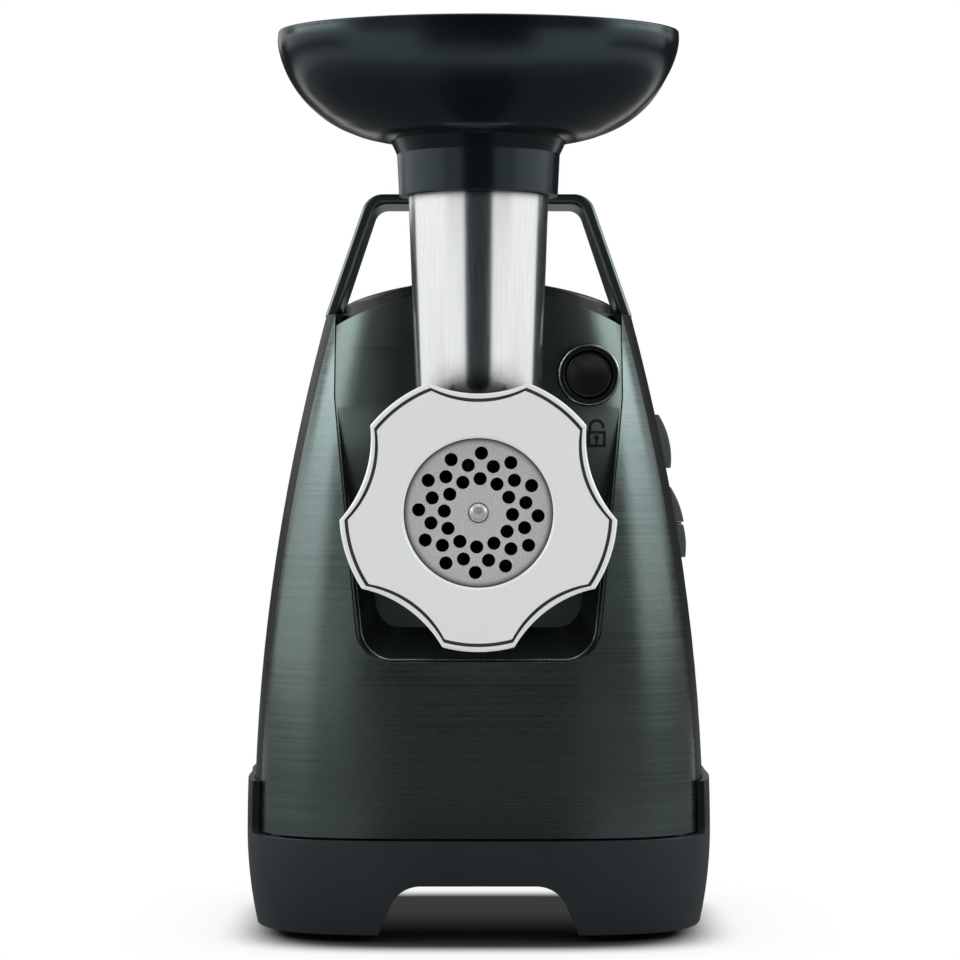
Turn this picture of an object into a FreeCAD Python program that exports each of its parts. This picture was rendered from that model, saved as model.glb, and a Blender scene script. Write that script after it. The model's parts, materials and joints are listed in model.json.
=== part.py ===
"""Electric meat grinder, built as separate pieces in one frame.

Millimetres. +Z is up, the front (the cutting plate) looks along -Y, and +X is the side with the buttons.
The floor is z = 0 and the body stands about the origin.
"""
import FreeCAD
import Part
import math
import os

V = FreeCAD.Vector
X_AXIS = V(1, 0, 0)
Y_AXIS = V(0, 1, 0)
Z_AXIS = V(0, 0, 1)
FAR = 400.0

# Common sizes
WALL = 2.6  # moulded wall
EDGE_ROUND = 1.6  # rounding of moulded edges
FIT = 0.3  # gap between moulded pieces
RUN = 0.05  # radial gap of a running shaft
FREE = 0.4  # gap between pieces that move past each other

# Body
SEAM_Z = 40.5  # seam between base and shells at the front
SHOULDER_Z = 250.0  # top of the shells, where the handle stands
BODY_HALF = 92.5  # half width at the seam
SHOULDER_HALF = 62.8  # half width at the shoulder
BODY_FRONT = -52.0
BODY_REAR = 120.0
FRONT_LEAN = 14.0  # how far the front leans back at the shoulder
REAR_LEAN = 40.0
WIDTH_POWER = 1.9  # how late the width shrinks on the way up
FRONT_POWER = 1.5
REAR_POWER = 1.6
CORNER_POWER = 4.0  # squareness of the body in plan
SPLIT_Y = -22.0  # plane between front and rear shell
SEAM_GAP = 0.8  # shadow gap between the shells and the base

# Base
FOOT_H = 3.0
EAR_Z = 61.5  # top of the base at the sides and rear
BASE_TUCK = 4.0  # how far the base draws in at its foot
TUNNEL_TOP_Z = 22.8
TUNNEL_FOOT_HALF = 41.0
TUNNEL_TOP_HALF = 31.5
TUNNEL_ROUND = 13.0
FOOT_R = 9.0
FOOT_X = 64.0
FOOT_FRONT_Y = -8.0
FOOT_REAR_Y = 92.0
POST_R = 5.0
SCREW_R = 1.6
BASE_HEAD_R = 2.8

# Inset panel and its pocket
WINDOW_FOOT_Z = 111.0
WINDOW_WAIST_Z = 216.0
WINDOW_FOOT_HALF = 47.6
WINDOW_TOP_HALF = 57.8
WINDOW_ROUND = 14.0
INSET_STEP = 0.3  # step from the front shell down to the panel
INSET_RISE = 9.3  # top of the panel in the middle, above the shoulder
INSET_TOP_DROP = 14.3  # fall of its top edge to the sides
FLUSH_Z = 216.0  # where the pocket begins
POCKET_FLOOR_Z = 123.0  # where the pocket is deepest
POCKET_DEPTH = 22.0
POCKET_SIDE = 0.30  # slope of the pocket's side walls
POCKET_SILL = 0.55  # slope of its lower wall
POCKET_RIM = 1.2

# Handle and top cover
HANDLE_TOP_Z = 300.5
HANDLE_TOP_HALF = 45.6
LEG = 5.0
BAR = 4.2
HANDLE_FRONT_Y = -4.0
HANDLE_REAR_Y = 44.0
HANDLE_DRAW = 5.0  # how much narrower the handle is at its top, front and rear
DOME_RISE = 13.2  # top of the cover above the shoulder
DOME_DROP = 10.0

# Grinding head
OUTPUT_Z = 170.7  # axis of the feed screw
RING_FRONT_Y = -122.0
RING_DEPTH = 23.5
RING_LOBE_R = 52.0
RING_DIP_R = 44.6
RING_LOBE_ARC = 30.0  # degrees
RING_LOBES = 5
# How far the ring nut's edge draws in, at which depth: its face, a groove and the rounded rim outside it
RING_STEPS = ((3.2, 0.0), (2.9, 1.7), (2.2, 1.6), (1.9, 0.4), (0.6, 0.5), (0.0, 1.5))
RING_MOUTH_R = 28.0
RING_LIP = 4.0
PLATE_R = 31.0
PLATE_T = 6.0
PLATE_HOLE_R = 2.5
HOLES_PER_RING = 12
HOLE_RINGS = (22.4, 18.2, 12.8)
HOLES_TURN = 87.1  # degrees, where the first hole stands
KNIFE_T = 8.0
KNIFE_R = 26.5
BLADE_W = 9.0
SQUARE = 9.0  # across the flats of the screw's shank
PIN_R = 3.8
BARREL_R = 33.0
THREAD_R = 35.0
CHAMBER_R = 28.4
TUBE_Y = -69.0
TUBE_TOP_Z = 312.0
TUBE_FOOT_R = 24.2
TUBE_TOP_R = 27.3
TUBE_WALL = 2.2
TUBE_GRIP = 11.0  # how deep the tube sits in its boss
BOSS_TOP_Z = 212.0
BOSS_WALL = 3.3
REAR_WALL = 6.0
HUB_END_Y = -8.0
LUG_R = 37.2
LUG_T = 6.0
LUG_ARC = 28.0
LUG_TURN = 38.0
SOCKET_R = 44.0
SOCKET_FRONT_Y = -37.0

# Feed screw
FLIGHT_PITCH = 23.0
FLIGHT_T = 3.4
FLIGHT_GAP = 0.9
CORE_FRONT_R = 10.0
CORE_REAR_R = 14.0
JOURNAL_R = 12.0
HEX = 20.0  # across the flats of the coupling
TAIL_R = 6.0

# Gear train
MOTOR_MODULE = 1.0
OUTPUT_MODULE = 1.25
PINION_TEETH = 11
IDLER_TEETH = 70
OUTPUT_TEETH = 60
PRESSURE = math.radians(25.0)
ADDENDUM = 0.8
DEDENDUM = 1.15
BACKLASH = 0.12  # of the module, off each tooth
SPREAD = 0.975  # how nearly the three axes lie in line
CASE_FRONT_Y = 2.0
CASE_WALL = 4.0
CASE_RIM = 3.2
OUTPUT_GEAR_W = 12.0
IDLER_GEAR_W = 8.0
GEAR_GAP = 2.0
DRIVE_R = 16.0
SHAFT_R = 7.0
IDLER_PIN_R = 4.0

# Motor
MOTOR_SHAFT_R = 4.0
STATOR_HALF = 36.0
STACK_L = 30.0
ARMATURE_R = 22.0
AIR_GAP = 0.6
COIL_DEPTH = 7.5
COIL_SLOPE = 0.8  # rise of a field coil's edge for each millimetre outward
COIL_HANG = 4.5
FAN_R = 31.0
FAN_W = 7.0
FAN_BLADES = 10
COMMUTATOR_R = 11.0
COMMUTATOR_L = 10.0
BRACKET_T = 5.0
PILLAR_RISE = 20.0  # height of the bracket's pillars above and below the motor's axis
PILLAR_R = 4.0

# Tray
TRAY_RIM_Z = 357.5
TRAY_HALF = 78.0
TRAY_FRONT_DEPTH = 52.0  # from the tube's axis to the front end
TRAY_REAR_DEPTH = 147.0
TRAY_DROP = 46.0  # how far the sides draw in at the floor
TRAY_FRONT_DROP = 19.3
TRAY_REAR_DROP = 114.0
TRAY_BOWL = 0.7  # share of a round in the bowl's side; the rest is a parabola
TRAY_WALL = 2.6
TRAY_RIM_H = 1.6
TRAY_EDGE = 0.8
TRAY_SEAT = 2.5  # height of the bowl's floor above the tube's mouth
TRAY_REAR_POWER = 3.2
COLLAR_R = 31.7
COLLAR_H = 18.5
COLLAR_DRAW = 0.8  # how much slimmer the collar is at its foot
COLLAR_FLARE = 2.6  # how far it widens into the bowl
COLLAR_FLARE_H = 5.0

# Buttons
LOCK_X = 44.0
LOCK_Z = 224.9
LOCK_R = 9.4
LOCK_BEZEL_R = 12.2
LOCK_FRONT_Y = -40.5
LOCK_REAR_Y = 11.0
LOCK_TRAVEL = 6.0
LOCK_DISH = 0.8
LATCH_W = 8.0
BUTTON_Y = 15.0
BUTTON_HALF_W = 8.0
BUTTON_SPANS = ((188.0, 210.0), (165.8, 180.2), (151.2, 164.6))  # reverse, on, off
BUTTON_PROUD = ((2.0, 3.7, 1.6), (3.3, 2.7, 0.4), (1.6, 2.9, 2.9))  # at the foot, middle and top of each
BUTTON_TRAVEL = 2.5
BOARD_X = 50.0
BOARD_T = 1.6
SPRING_TURNS = 4
SPRING_RUNS = 14  # straight runs in one turn
LOCK_SPRING_R = 6.2
LOCK_WIRE = 0.5  # radius of the wire
BUTTON_SPRING_R = 3.6
BUTTON_WIRE = 0.4

# Cord inlet
GLAND_X = -46.0
GLAND_Z = 30.0
GLAND_R = 8.0
GLAND_BORE_R = 3.75

# Worked out from the sizes above
BASE_PROUD = WALL + FIT
INSET_TOP_Z = SHOULDER_Z + INSET_RISE
DOME_TOP_Z = SHOULDER_Z + DOME_RISE
HANDLE_SLOPE = (SHOULDER_HALF - HANDLE_TOP_HALF) / (HANDLE_TOP_Z - SHOULDER_Z)
PLATE_FRONT_Y = RING_FRONT_Y + RING_LIP
PLATE_BACK_Y = PLATE_FRONT_Y + PLATE_T
KNIFE_BACK_Y = PLATE_BACK_Y + KNIFE_T
RING_BACK_Y = RING_FRONT_Y + RING_DEPTH
BOSS_R = TUBE_FOOT_R + BOSS_WALL
CHAMBER_END_Y = TUBE_Y + BOSS_R + 8.0
HEAD_REAR_Y = CHAMBER_END_Y + REAR_WALL
LUG_BACK_Y = HUB_END_Y - 1.5
LUG_FRONT_Y = LUG_BACK_Y - LUG_T
MOTOR_CENTRES = MOTOR_MODULE * (PINION_TEETH + IDLER_TEETH) / 2
OUTPUT_CENTRES = OUTPUT_MODULE * (PINION_TEETH + OUTPUT_TEETH) / 2
AXES_SPAN = SPREAD * (MOTOR_CENTRES + OUTPUT_CENTRES)
MOTOR_Z = OUTPUT_Z - AXES_SPAN
IDLER_DOWN = (OUTPUT_CENTRES**2 - MOTOR_CENTRES**2 + AXES_SPAN**2) / (2 * AXES_SPAN)
IDLER_X = -math.sqrt(OUTPUT_CENTRES**2 - IDLER_DOWN**2)
IDLER_Z = OUTPUT_Z - IDLER_DOWN
OUTPUT_GEAR_Y = CASE_FRONT_Y + CASE_WALL + GEAR_GAP
IDLER_GEAR_Y = OUTPUT_GEAR_Y + OUTPUT_GEAR_W + GEAR_GAP
COVER_Y = IDLER_GEAR_Y + IDLER_GEAR_W + GEAR_GAP
COVER_END_Y = COVER_Y + CASE_WALL
FAN_Y = COVER_END_Y + 4.0
STACK_Y = FAN_Y + FAN_W + COIL_HANG + 2.0
STACK_END_Y = STACK_Y + STACK_L
COMMUTATOR_Y = STACK_END_Y + COIL_HANG + 1.0
BRACKET_Y = COMMUTATOR_Y + COMMUTATOR_L + 1.5
MOTOR_END_Y = BRACKET_Y + BRACKET_T + 1.0
TRAY_FLOOR_Z = TUBE_TOP_Z + TRAY_SEAT
TRAY_CURVE_Z = TRAY_RIM_Z - TRAY_RIM_H
LOCK_ANGLE = math.degrees(math.atan2(LOCK_Z - OUTPUT_Z, LOCK_X))
LOCK_REACH = math.hypot(LOCK_X, LOCK_Z - OUTPUT_Z)


# Basic solids

def box(x0, x1, y0, y1, z0, z1):
    return Part.makeBox(x1 - x0, y1 - y0, z1 - z0, V(x0, y0, z0))


def rod_x(radius, x0, x1, y, z):
    return Part.makeCylinder(radius, x1 - x0, V(x0, y, z), X_AXIS)


def rod_y(radius, y0, y1, x=0.0, z=OUTPUT_Z):
    return Part.makeCylinder(radius, y1 - y0, V(x, y0, z), Y_AXIS)


def rod_z(radius, z0, z1, x=0.0, y=0.0):
    return Part.makeCylinder(radius, z1 - z0, V(x, y, z0), Z_AXIS)


def tube_y(outer, inner, y0, y1, x=0.0, z=OUTPUT_Z):
    return rod_y(outer, y0, y1, x, z).cut(rod_y(inner, y0, y1, x, z))


def prism(points, direction):
    outline = Part.makePolygon([*points, points[0]])
    return Part.Face(outline).extrude(direction)


def prism_y(points, y0, y1):
    return prism([V(x, y0, z) for x, z in points], V(0, y1 - y0, 0))


def prism_x(points, x0, x1):
    return prism([V(x0, y, z) for y, z in points], V(x1 - x0, 0, 0))


def turned_y(points, z=OUTPUT_Z):
    """Solid of revolution about the Y axis at height z, from points (radius, y)."""
    outline = Part.makePolygon([V(r, y, z) for r, y in [*points, points[0]]])
    return Part.Face(outline).revolve(V(0, 0, z), Y_AXIS, 360)


def turned_z(points, x, y):
    """Solid of revolution about a vertical axis, from points (radius, z)."""
    outline = Part.makePolygon([V(x + r, y, z) for r, z in [*points, points[0]]])
    return Part.Face(outline).revolve(V(x, y, 0), Z_AXIS, 360)


def rounded(shape, radius, chosen):
    """The shape with a fillet on each edge for which chosen(edge) is true."""
    return shape.makeFillet(radius, [edge for edge in shape.Edges if chosen(edge)])


def along_y(edge):
    ends = edge.Vertexes
    if len(ends) < 2:
        return False
    step = ends[1].Point - ends[0].Point
    return abs(step.x) < 1e-6 and abs(step.z) < 1e-6


def joined(shapes):
    return shapes[0].multiFuse(shapes[1:]).removeSplitter()


def spaced(start, end, count):
    return [start + (end - start) * i / (count - 1) for i in range(count)]


def polar(radius, degrees, z=OUTPUT_Z):
    """Point (x, z) on a circle about the feed screw's axis."""
    angle = math.radians(degrees)
    return radius * math.cos(angle), z + radius * math.sin(angle)


def smooth(share):
    share = min(max(share, 0.0), 1.0)
    return share * share * (3.0 - 2.0 * share)


# Body surface

def climb(z):
    return max((z - SEAM_Z) / (SHOULDER_Z - SEAM_Z), 0.0)


def half_width(z):
    return BODY_HALF - (BODY_HALF - SHOULDER_HALF) * climb(z) ** WIDTH_POWER


def front_y(z):
    return BODY_FRONT + FRONT_LEAN * climb(z) ** FRONT_POWER


def rear_y(z):
    return BODY_REAR - REAR_LEAN * climb(z) ** REAR_POWER


def power_curve(share, power):
    return math.copysign(abs(share) ** (2.0 / power), share)


def closed_curve(points):
    curve = Part.BSplineCurve()
    curve.interpolate(points, PeriodicFlag=True)
    return Part.Wire([curve.toShape()])


def rounded_square(half, front, rear, z, count=24):
    """Plan outline of the body; it starts at -X, where nothing is cut."""
    middle = (front + rear) / 2
    depth = (rear - front) / 2
    points = []
    for i in range(count):
        angle = math.pi + 2 * math.pi * i / count
        x = half * power_curve(math.cos(angle), CORNER_POWER)
        y = middle + depth * power_curve(math.sin(angle), CORNER_POWER)
        points.append(V(x, y, z))
    return closed_curve(points)


def body_section(z, inset=0.0, sink=0.0):
    return rounded_square(half_width(z) - inset, front_y(z) + inset + sink, rear_y(z) - inset, z)


def surface_y(x, z):
    """Depth of the body's front surface."""
    middle = (front_y(z) + rear_y(z)) / 2
    share = (1.0 - abs(x / half_width(z)) ** CORNER_POWER) ** (1.0 / CORNER_POWER)
    return middle - (middle - front_y(z)) * share


def body_loft(inset, z0, z1, count=7):
    return Part.makeLoft([body_section(z, inset) for z in spaced(z0, z1, count)], True, False)


def pocket_sink(z):
    return INSET_STEP + (POCKET_DEPTH - INSET_STEP) * smooth((FLUSH_Z - z) / (FLUSH_Z - POCKET_FLOOR_Z))


def pocket_loft(inset, z0, z1):
    sections = [body_section(z, inset, pocket_sink(z)) for z in spaced(z0, z1, 10)]
    return Part.makeLoft(sections, True, False)


# Base

def tunnel(grow):
    foot = TUNNEL_FOOT_HALF + grow
    top = TUNNEL_TOP_HALF + grow
    roof = TUNNEL_TOP_Z + grow
    outline = [(-foot, -grow), (foot, -grow), (top, roof), (-top, roof)]
    solid = prism_y(outline, -FAR, FAR)
    return rounded(solid, TUNNEL_ROUND, lambda edge: along_y(edge) and edge.Vertexes[0].Z > roof - 1)


def wall_x(y):
    """Half width of the body at the seam, at depth y."""
    middle = (BODY_FRONT + BODY_REAR) / 2
    depth = (BODY_REAR - BODY_FRONT) / 2
    return BODY_HALF * (1.0 - abs((y - middle) / depth) ** CORNER_POWER) ** (1.0 / CORNER_POWER)


def post_places():
    """Where the screws join base and shells: beside the wall, front pair first."""
    depths = (SPLIT_Y - POST_R - 1.0, BODY_REAR - 24.0)
    return [(side * (wall_x(y) - WALL - POST_R + 0.5), y) for y in depths for side in (-1, 1)]


def base_section(z):
    rise = min((z - FOOT_H) / (SEAM_Z - FOOT_H), 1.0)
    return body_section(z, BASE_TUCK * (1.0 - rise) ** 2 - BASE_PROUD)


def base_loft(z0, z1, count):
    return Part.makeLoft([base_section(z) for z in spaced(z0, z1, count)], True, False)


def make_base():
    floor_z = FOOT_H + WALL
    hollow = Part.Face(body_section(floor_z, WALL)).extrude(V(0, 0, SEAM_Z))
    tub = base_loft(FOOT_H, SEAM_Z, 6).cut(hollow.cut(tunnel(WALL)))
    within = Part.Face(body_section(0.0)).extrude(V(0, 0, SEAM_Z))
    posts = [rod_z(POST_R, floor_z - 1.0, SEAM_Z, x, y).common(within) for x, y in post_places()]
    tub = tub.multiFuse(posts)
    tub = tub.cut(tunnel(0.0))
    ears = base_loft(SEAM_Z, EAR_Z, 3).cut(body_loft(-FIT, SEAM_Z - 2.0, EAR_Z + 2.0, 4))
    ears = ears.common(box(-FAR, FAR, SPLIT_Y, FAR, 0.0, FAR))
    tub = tub.fuse(ears)
    drills = [rod_y(GLAND_R, BODY_REAR - 25.0, FAR, GLAND_X, GLAND_Z)]
    for x, y in post_places():
        drills.append(rod_z(SCREW_R + 0.2, 0.0, FAR, x, y))
        drills.append(rod_z(BASE_HEAD_R + FIT, 0.0, SEAM_Z / 2, x, y))
    for x, y in foot_places():
        drills.append(rod_z(FOOT_R / 2, 0.0, floor_z + 1.0, x, y))
    for i in range(5):
        y = IDLER_GEAR_Y - 8.0 * i
        drills.append(box(-18.0, 18.0, y, y + 3.0, TUNNEL_TOP_Z - 5.0, TUNNEL_TOP_Z + WALL + 5.0))
    return tub.cut(drills)


def foot_places():
    return [(side * FOOT_X, y) for side in (-1, 1) for y in (FOOT_FRONT_Y, FOOT_REAR_Y)]


def make_feet():
    stem = FOOT_R / 2
    edge = 1.0
    profile = [
        (0, 0), (FOOT_R - edge, 0), (FOOT_R, edge), (FOOT_R, FOOT_H),
        (stem, FOOT_H), (stem, FOOT_H + WALL), (0, FOOT_H + WALL),
    ]
    return Part.makeCompound([turned_z(profile, x, y) for x, y in foot_places()])


def make_base_screws():
    head_z = SEAM_Z / 2
    screws = []
    for x, y in post_places():
        head = rod_z(BASE_HEAD_R, head_z - 2.5, head_z, x, y)
        socket = Part.makeBox(2.4 * SCREW_R, 0.9, 1.4, V(x - 1.2 * SCREW_R, y - 0.45, head_z - 2.5))
        shank = rod_z(SCREW_R, head_z - 1.0, SEAM_Z + 14.0, x, y)
        screws.append(head.cut(socket).fuse(shank).removeSplitter())
    return Part.makeCompound(screws)


def make_cord_gland():
    wall_y = BODY_REAR + BASE_PROUD - 1.4
    body = rod_y(GLAND_R, BODY_REAR - 9.0, wall_y, GLAND_X, GLAND_Z)
    return body.cut(rod_y(GLAND_BORE_R, -FAR, FAR, GLAND_X, GLAND_Z))


# Shells

def window_solid(shrink, y0, y1, top_z):
    """Outline of the opening in the front shell, drawn through in depth."""
    foot_z = WINDOW_FOOT_Z + shrink
    foot = WINDOW_FOOT_HALF - shrink
    top = WINDOW_TOP_HALF - shrink
    outline = [(-foot, foot_z), (foot, foot_z), (top, WINDOW_WAIST_Z), (top, top_z)]
    outline += [(-top, top_z), (-top, WINDOW_WAIST_Z)]
    solid = prism_y(outline, y0, y1)

    def at_foot(edge):
        return along_y(edge) and edge.Vertexes[0].Z < foot_z + 1

    return rounded(solid, WINDOW_ROUND - shrink, at_foot)


def body_shell():
    """The whole shell, and the space within the middle of its wall."""
    low = SEAM_Z - 2.0
    high = SHOULDER_Z + 2.0
    shell = body_loft(0.0, SEAM_Z + SEAM_GAP, SHOULDER_Z).cut(body_loft(WALL, low, high))
    return shell, body_loft(WALL / 2, low, high)


def screw_boss(x, y, within):
    boss = rod_z(POST_R, SEAM_Z, SEAM_Z + 20.0, x, y).common(within)
    return boss.cut(rod_z(SCREW_R, SEAM_Z, SEAM_Z + 15.0, x, y))


def make_front_shell(shell, within):
    front = shell.common(box(-FAR, FAR, -FAR, SPLIT_Y, 0.0, FAR))
    front = front.cut(window_solid(0.0, -FAR, SPLIT_Y + 1.0, FAR))
    return front.multiFuse([screw_boss(x, y, within) for x, y in post_places()[:2]])


def button_hole(span, gap):
    z0, z1 = span
    half = BUTTON_HALF_W + gap
    return box(BOARD_X + 6.0, FAR, BUTTON_Y - half, BUTTON_Y + half, z0 - gap, z1 + gap)


def board_span():
    lows, highs = zip(*BUTTON_SPANS)
    return min(lows) - 3.0, max(highs) + 1.0


def board_posts():
    """Posts on the rear shell's wall that carry the switch board, as (y, z)."""
    low, high = board_span()
    beside = BUTTON_HALF_W + 6.5
    return [(BUTTON_Y - beside, low + 4.0), (BUTTON_Y + beside, low + 4.0), (BUTTON_Y + beside, high - 4.0)]


def make_rear_shell(shell, within):
    rear = shell.common(box(-FAR, FAR, SPLIT_Y, FAR, 0.0, FAR))
    bosses = [screw_boss(x, y, within) for x, y in post_places()[2:]]
    posts = [rod_x(3.5, BOARD_X + BOARD_T, FAR, y, z).common(within) for y, z in board_posts()]
    rear = rear.multiFuse([*bosses, *posts])
    cuts = [button_hole(span, FIT) for span in BUTTON_SPANS]
    for i in range(8):
        z = EAR_Z + 12.0 + 6.5 * i
        cuts.append(box(-34.0, 34.0, BODY_REAR - 30.0, FAR, z, z + 3.0))
    return rear.cut(cuts)


def make_inset_panel():
    floor_y = front_y(POCKET_FLOOR_Z) + POCKET_DEPTH + WALL
    top = INSET_TOP_Z + 5.0
    low = WINDOW_FOOT_Z - 5.0
    plug = window_solid(FIT, -FAR, floor_y, top)
    plug = plug.common(body_loft(INSET_STEP, low, top))
    plug = plug.common(arched_block(INSET_TOP_Z, INSET_TOP_DROP, WINDOW_TOP_HALF))
    plug = plug.cut(pocket_mouth().cut(pocket_loft(0.0, low - 2.0, top + 2.0)))
    behind = pocket_loft(WALL, low - 2.0, top + 2.0)
    plug = plug.cut(behind.common(window_solid(FIT + WALL, -FAR, FAR, top + 3.0)))
    plug = plug.cut(rod_y(SOCKET_R + FIT, -FAR, FAR))
    plug = plug.cut(rod_y(LOCK_BEZEL_R + FIT, -FAR, FAR, LOCK_X, LOCK_Z))
    return max(plug.Solids, key=lambda solid: solid.Volume)


def arched_block(top_z, drop, half):
    """Everything below an arch that spans -half to half and falls by drop to its ends."""
    left = V(-half, -FAR, top_z - drop)
    right = V(half, -FAR, top_z - drop)
    arch = Part.Arc(left, V(0, -FAR, top_z), right).toShape()
    under = Part.makePolygon([right, V(half, -FAR, 0), V(-half, -FAR, 0), left])
    return Part.Face(Part.Wire([arch, *under.Edges])).extrude(V(0, 2 * FAR, 0))


def pocket_wire(y):
    """Outline of the pocket at depth y: it narrows on the way in from the body's surface."""
    low = y - surface_y(WINDOW_FOOT_HALF, WINDOW_FOOT_Z)
    high = y - surface_y(WINDOW_TOP_HALF, WINDOW_WAIST_Z)
    foot_z = WINDOW_FOOT_Z + POCKET_RIM + POCKET_SILL * low
    foot = WINDOW_FOOT_HALF - POCKET_RIM - POCKET_SIDE * low
    top = WINDOW_TOP_HALF - POCKET_RIM - POCKET_SIDE * high
    corners = [(-foot, foot_z), (foot, foot_z), (top, WINDOW_WAIST_Z), (top, FLUSH_Z + 20.0)]
    corners += [(-top, FLUSH_Z + 20.0), (-top, WINDOW_WAIST_Z)]
    points = [V(x, y, z) for x, z in corners]
    return Part.makePolygon([*points, points[0]])


def pocket_mouth():
    deep = front_y(POCKET_FLOOR_Z) + POCKET_DEPTH + WALL + 1.0
    mouth = Part.makeLoft([pocket_wire(BODY_FRONT - 6.0), pocket_wire(deep)], True, True)
    limit = WINDOW_FOOT_Z + 25.0
    return rounded(mouth, WINDOW_ROUND - 4.0, lambda edge: is_corner(edge, limit))


def is_corner(edge, limit):
    ends = [vertex.Point for vertex in edge.Vertexes]
    return abs(ends[0].y - ends[-1].y) > 5.0 and max(end.z for end in ends) < limit


def make_top_cover():
    inset_back = front_y(SHOULDER_Z) + INSET_STEP + WALL
    lip_back = front_y(INSET_TOP_Z) + INSET_STEP + WALL
    half = SHOULDER_HALF - WALL - FIT
    rear = rear_y(SHOULDER_Z) - WALL - FIT
    plate_z = INSET_TOP_Z - INSET_TOP_DROP - WALL
    plate_h = SHOULDER_Z - plate_z
    plate = Part.Face(rounded_square(half, inset_back + 5 * FIT, rear, plate_z)).extrude(V(0, 0, plate_h))
    dome_half = SHOULDER_HALF - LEG - HANDLE_SLOPE * (DOME_TOP_Z - DOME_DROP - SHOULDER_Z) - 3 * FIT
    dome_front = lip_back + 2.0
    dome = Part.Face(rounded_square(dome_half, dome_front, rear - 1.5, plate_z)).extrude(V(0, 0, 40.0))
    dome = dome.common(arched_block(DOME_TOP_Z, DOME_DROP, dome_half + 1.0))
    dome = rounded(dome, EDGE_ROUND, lambda edge: edge.BoundBox.ZMin > SHOULDER_Z)
    core = rounded_square(dome_half - WALL, dome_front + WALL, rear - 1.5 - WALL, plate_z - 1.0)
    hollow = Part.Face(core).extrude(V(0, 0, 40.0))
    hollow = hollow.common(arched_block(DOME_TOP_Z - WALL, DOME_DROP, dome_half + 1.0))
    return joined([plate, dome]).cut(hollow)


def make_carry_handle():
    outer = [
        (-SHOULDER_HALF, SHOULDER_Z), (SHOULDER_HALF, SHOULDER_Z),
        (HANDLE_TOP_HALF, HANDLE_TOP_Z), (-HANDLE_TOP_HALF, HANDLE_TOP_Z),
    ]
    inner_top = HANDLE_TOP_HALF - LEG + HANDLE_SLOPE * BAR
    inner_foot = SHOULDER_HALF - LEG + HANDLE_SLOPE * 5.0
    inner = [
        (-inner_foot, SHOULDER_Z - 5.0), (inner_foot, SHOULDER_Z - 5.0),
        (inner_top, HANDLE_TOP_Z - BAR), (-inner_top, HANDLE_TOP_Z - BAR),
    ]
    high = SHOULDER_Z + 10.0
    band = rounded(prism_y(outer, -FAR, FAR), 9.0, lambda edge: along_y(edge) and edge.Vertexes[0].Z > high)
    window = rounded(prism_y(inner, -FAR, FAR), 6.0, lambda edge: along_y(edge) and edge.Vertexes[0].Z > high)
    side = [
        (HANDLE_FRONT_Y, SHOULDER_Z), (HANDLE_REAR_Y, SHOULDER_Z),
        (HANDLE_REAR_Y - HANDLE_DRAW, HANDLE_TOP_Z), (HANDLE_FRONT_Y + HANDLE_DRAW, HANDLE_TOP_Z),
    ]
    handle = band.cut(window).common(prism_x(side, -FAR, FAR))
    return rounded(handle, EDGE_ROUND, lambda edge: edge.BoundBox.ZMax > SHOULDER_Z + 0.5)


# Grinding head

def make_grinder_head():
    head = turned_y([
        (0, PLATE_FRONT_Y + 1.0), (THREAD_R - 1.0, PLATE_FRONT_Y + 1.0), (THREAD_R, PLATE_FRONT_Y + 2.0),
        (THREAD_R, RING_BACK_Y + 0.5), (BARREL_R, RING_BACK_Y + 2.5), (BARREL_R, HUB_END_Y), (0, HUB_END_Y),
    ])
    head = head.fuse(rod_z(BOSS_R, OUTPUT_Z, BOSS_TOP_Z, 0.0, TUBE_Y))
    for i in range(3):
        head = head.fuse(lug(LOCK_ANGLE + LUG_TURN + 120.0 * i, LUG_R, LUG_ARC, LUG_FRONT_Y, LUG_BACK_Y))
    bore = turned_y([
        (0, PLATE_FRONT_Y), (PLATE_R + 0.2, PLATE_FRONT_Y), (PLATE_R + 0.2, KNIFE_BACK_Y + 1.0),
        (CHAMBER_R, KNIFE_BACK_Y + 3.0), (CHAMBER_R, CHAMBER_END_Y), (0, CHAMBER_END_Y),
    ])
    head = head.cut(bore)
    head = head.cut(rod_y(JOURNAL_R + 3.0, CHAMBER_END_Y - 1.0, HEAD_REAR_Y + 1.0))
    head = head.cut(rod_y(BARREL_R - 6.0, HEAD_REAR_Y, HUB_END_Y))
    head = head.cut(rod_z(TUBE_FOOT_R - TUBE_WALL, OUTPUT_Z, BOSS_TOP_Z, 0.0, TUBE_Y))
    head = head.cut(rod_z(TUBE_FOOT_R, BOSS_TOP_Z - TUBE_GRIP, BOSS_TOP_Z, 0.0, TUBE_Y))
    key = rod_y(1.5, PLATE_FRONT_Y + 1.0, PLATE_BACK_Y, 0.0, OUTPUT_Z - PLATE_R - 0.2)
    return head.fuse(key).removeSplitter()


def lug(degrees, radius, arc, y0, y1):
    """Sector of a disc about the feed screw's axis, as a bayonet lug or its slot."""
    wide = 2.0 * radius
    edge = [polar(wide, degrees - arc / 2), polar(wide, degrees + arc / 2)]
    wedge = prism_y([(0.0, OUTPUT_Z), *edge], y0, y1)
    return rod_y(radius, y0, y1).common(wedge).cut(rod_y(BARREL_R - 1.0, y0, y1))


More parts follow.
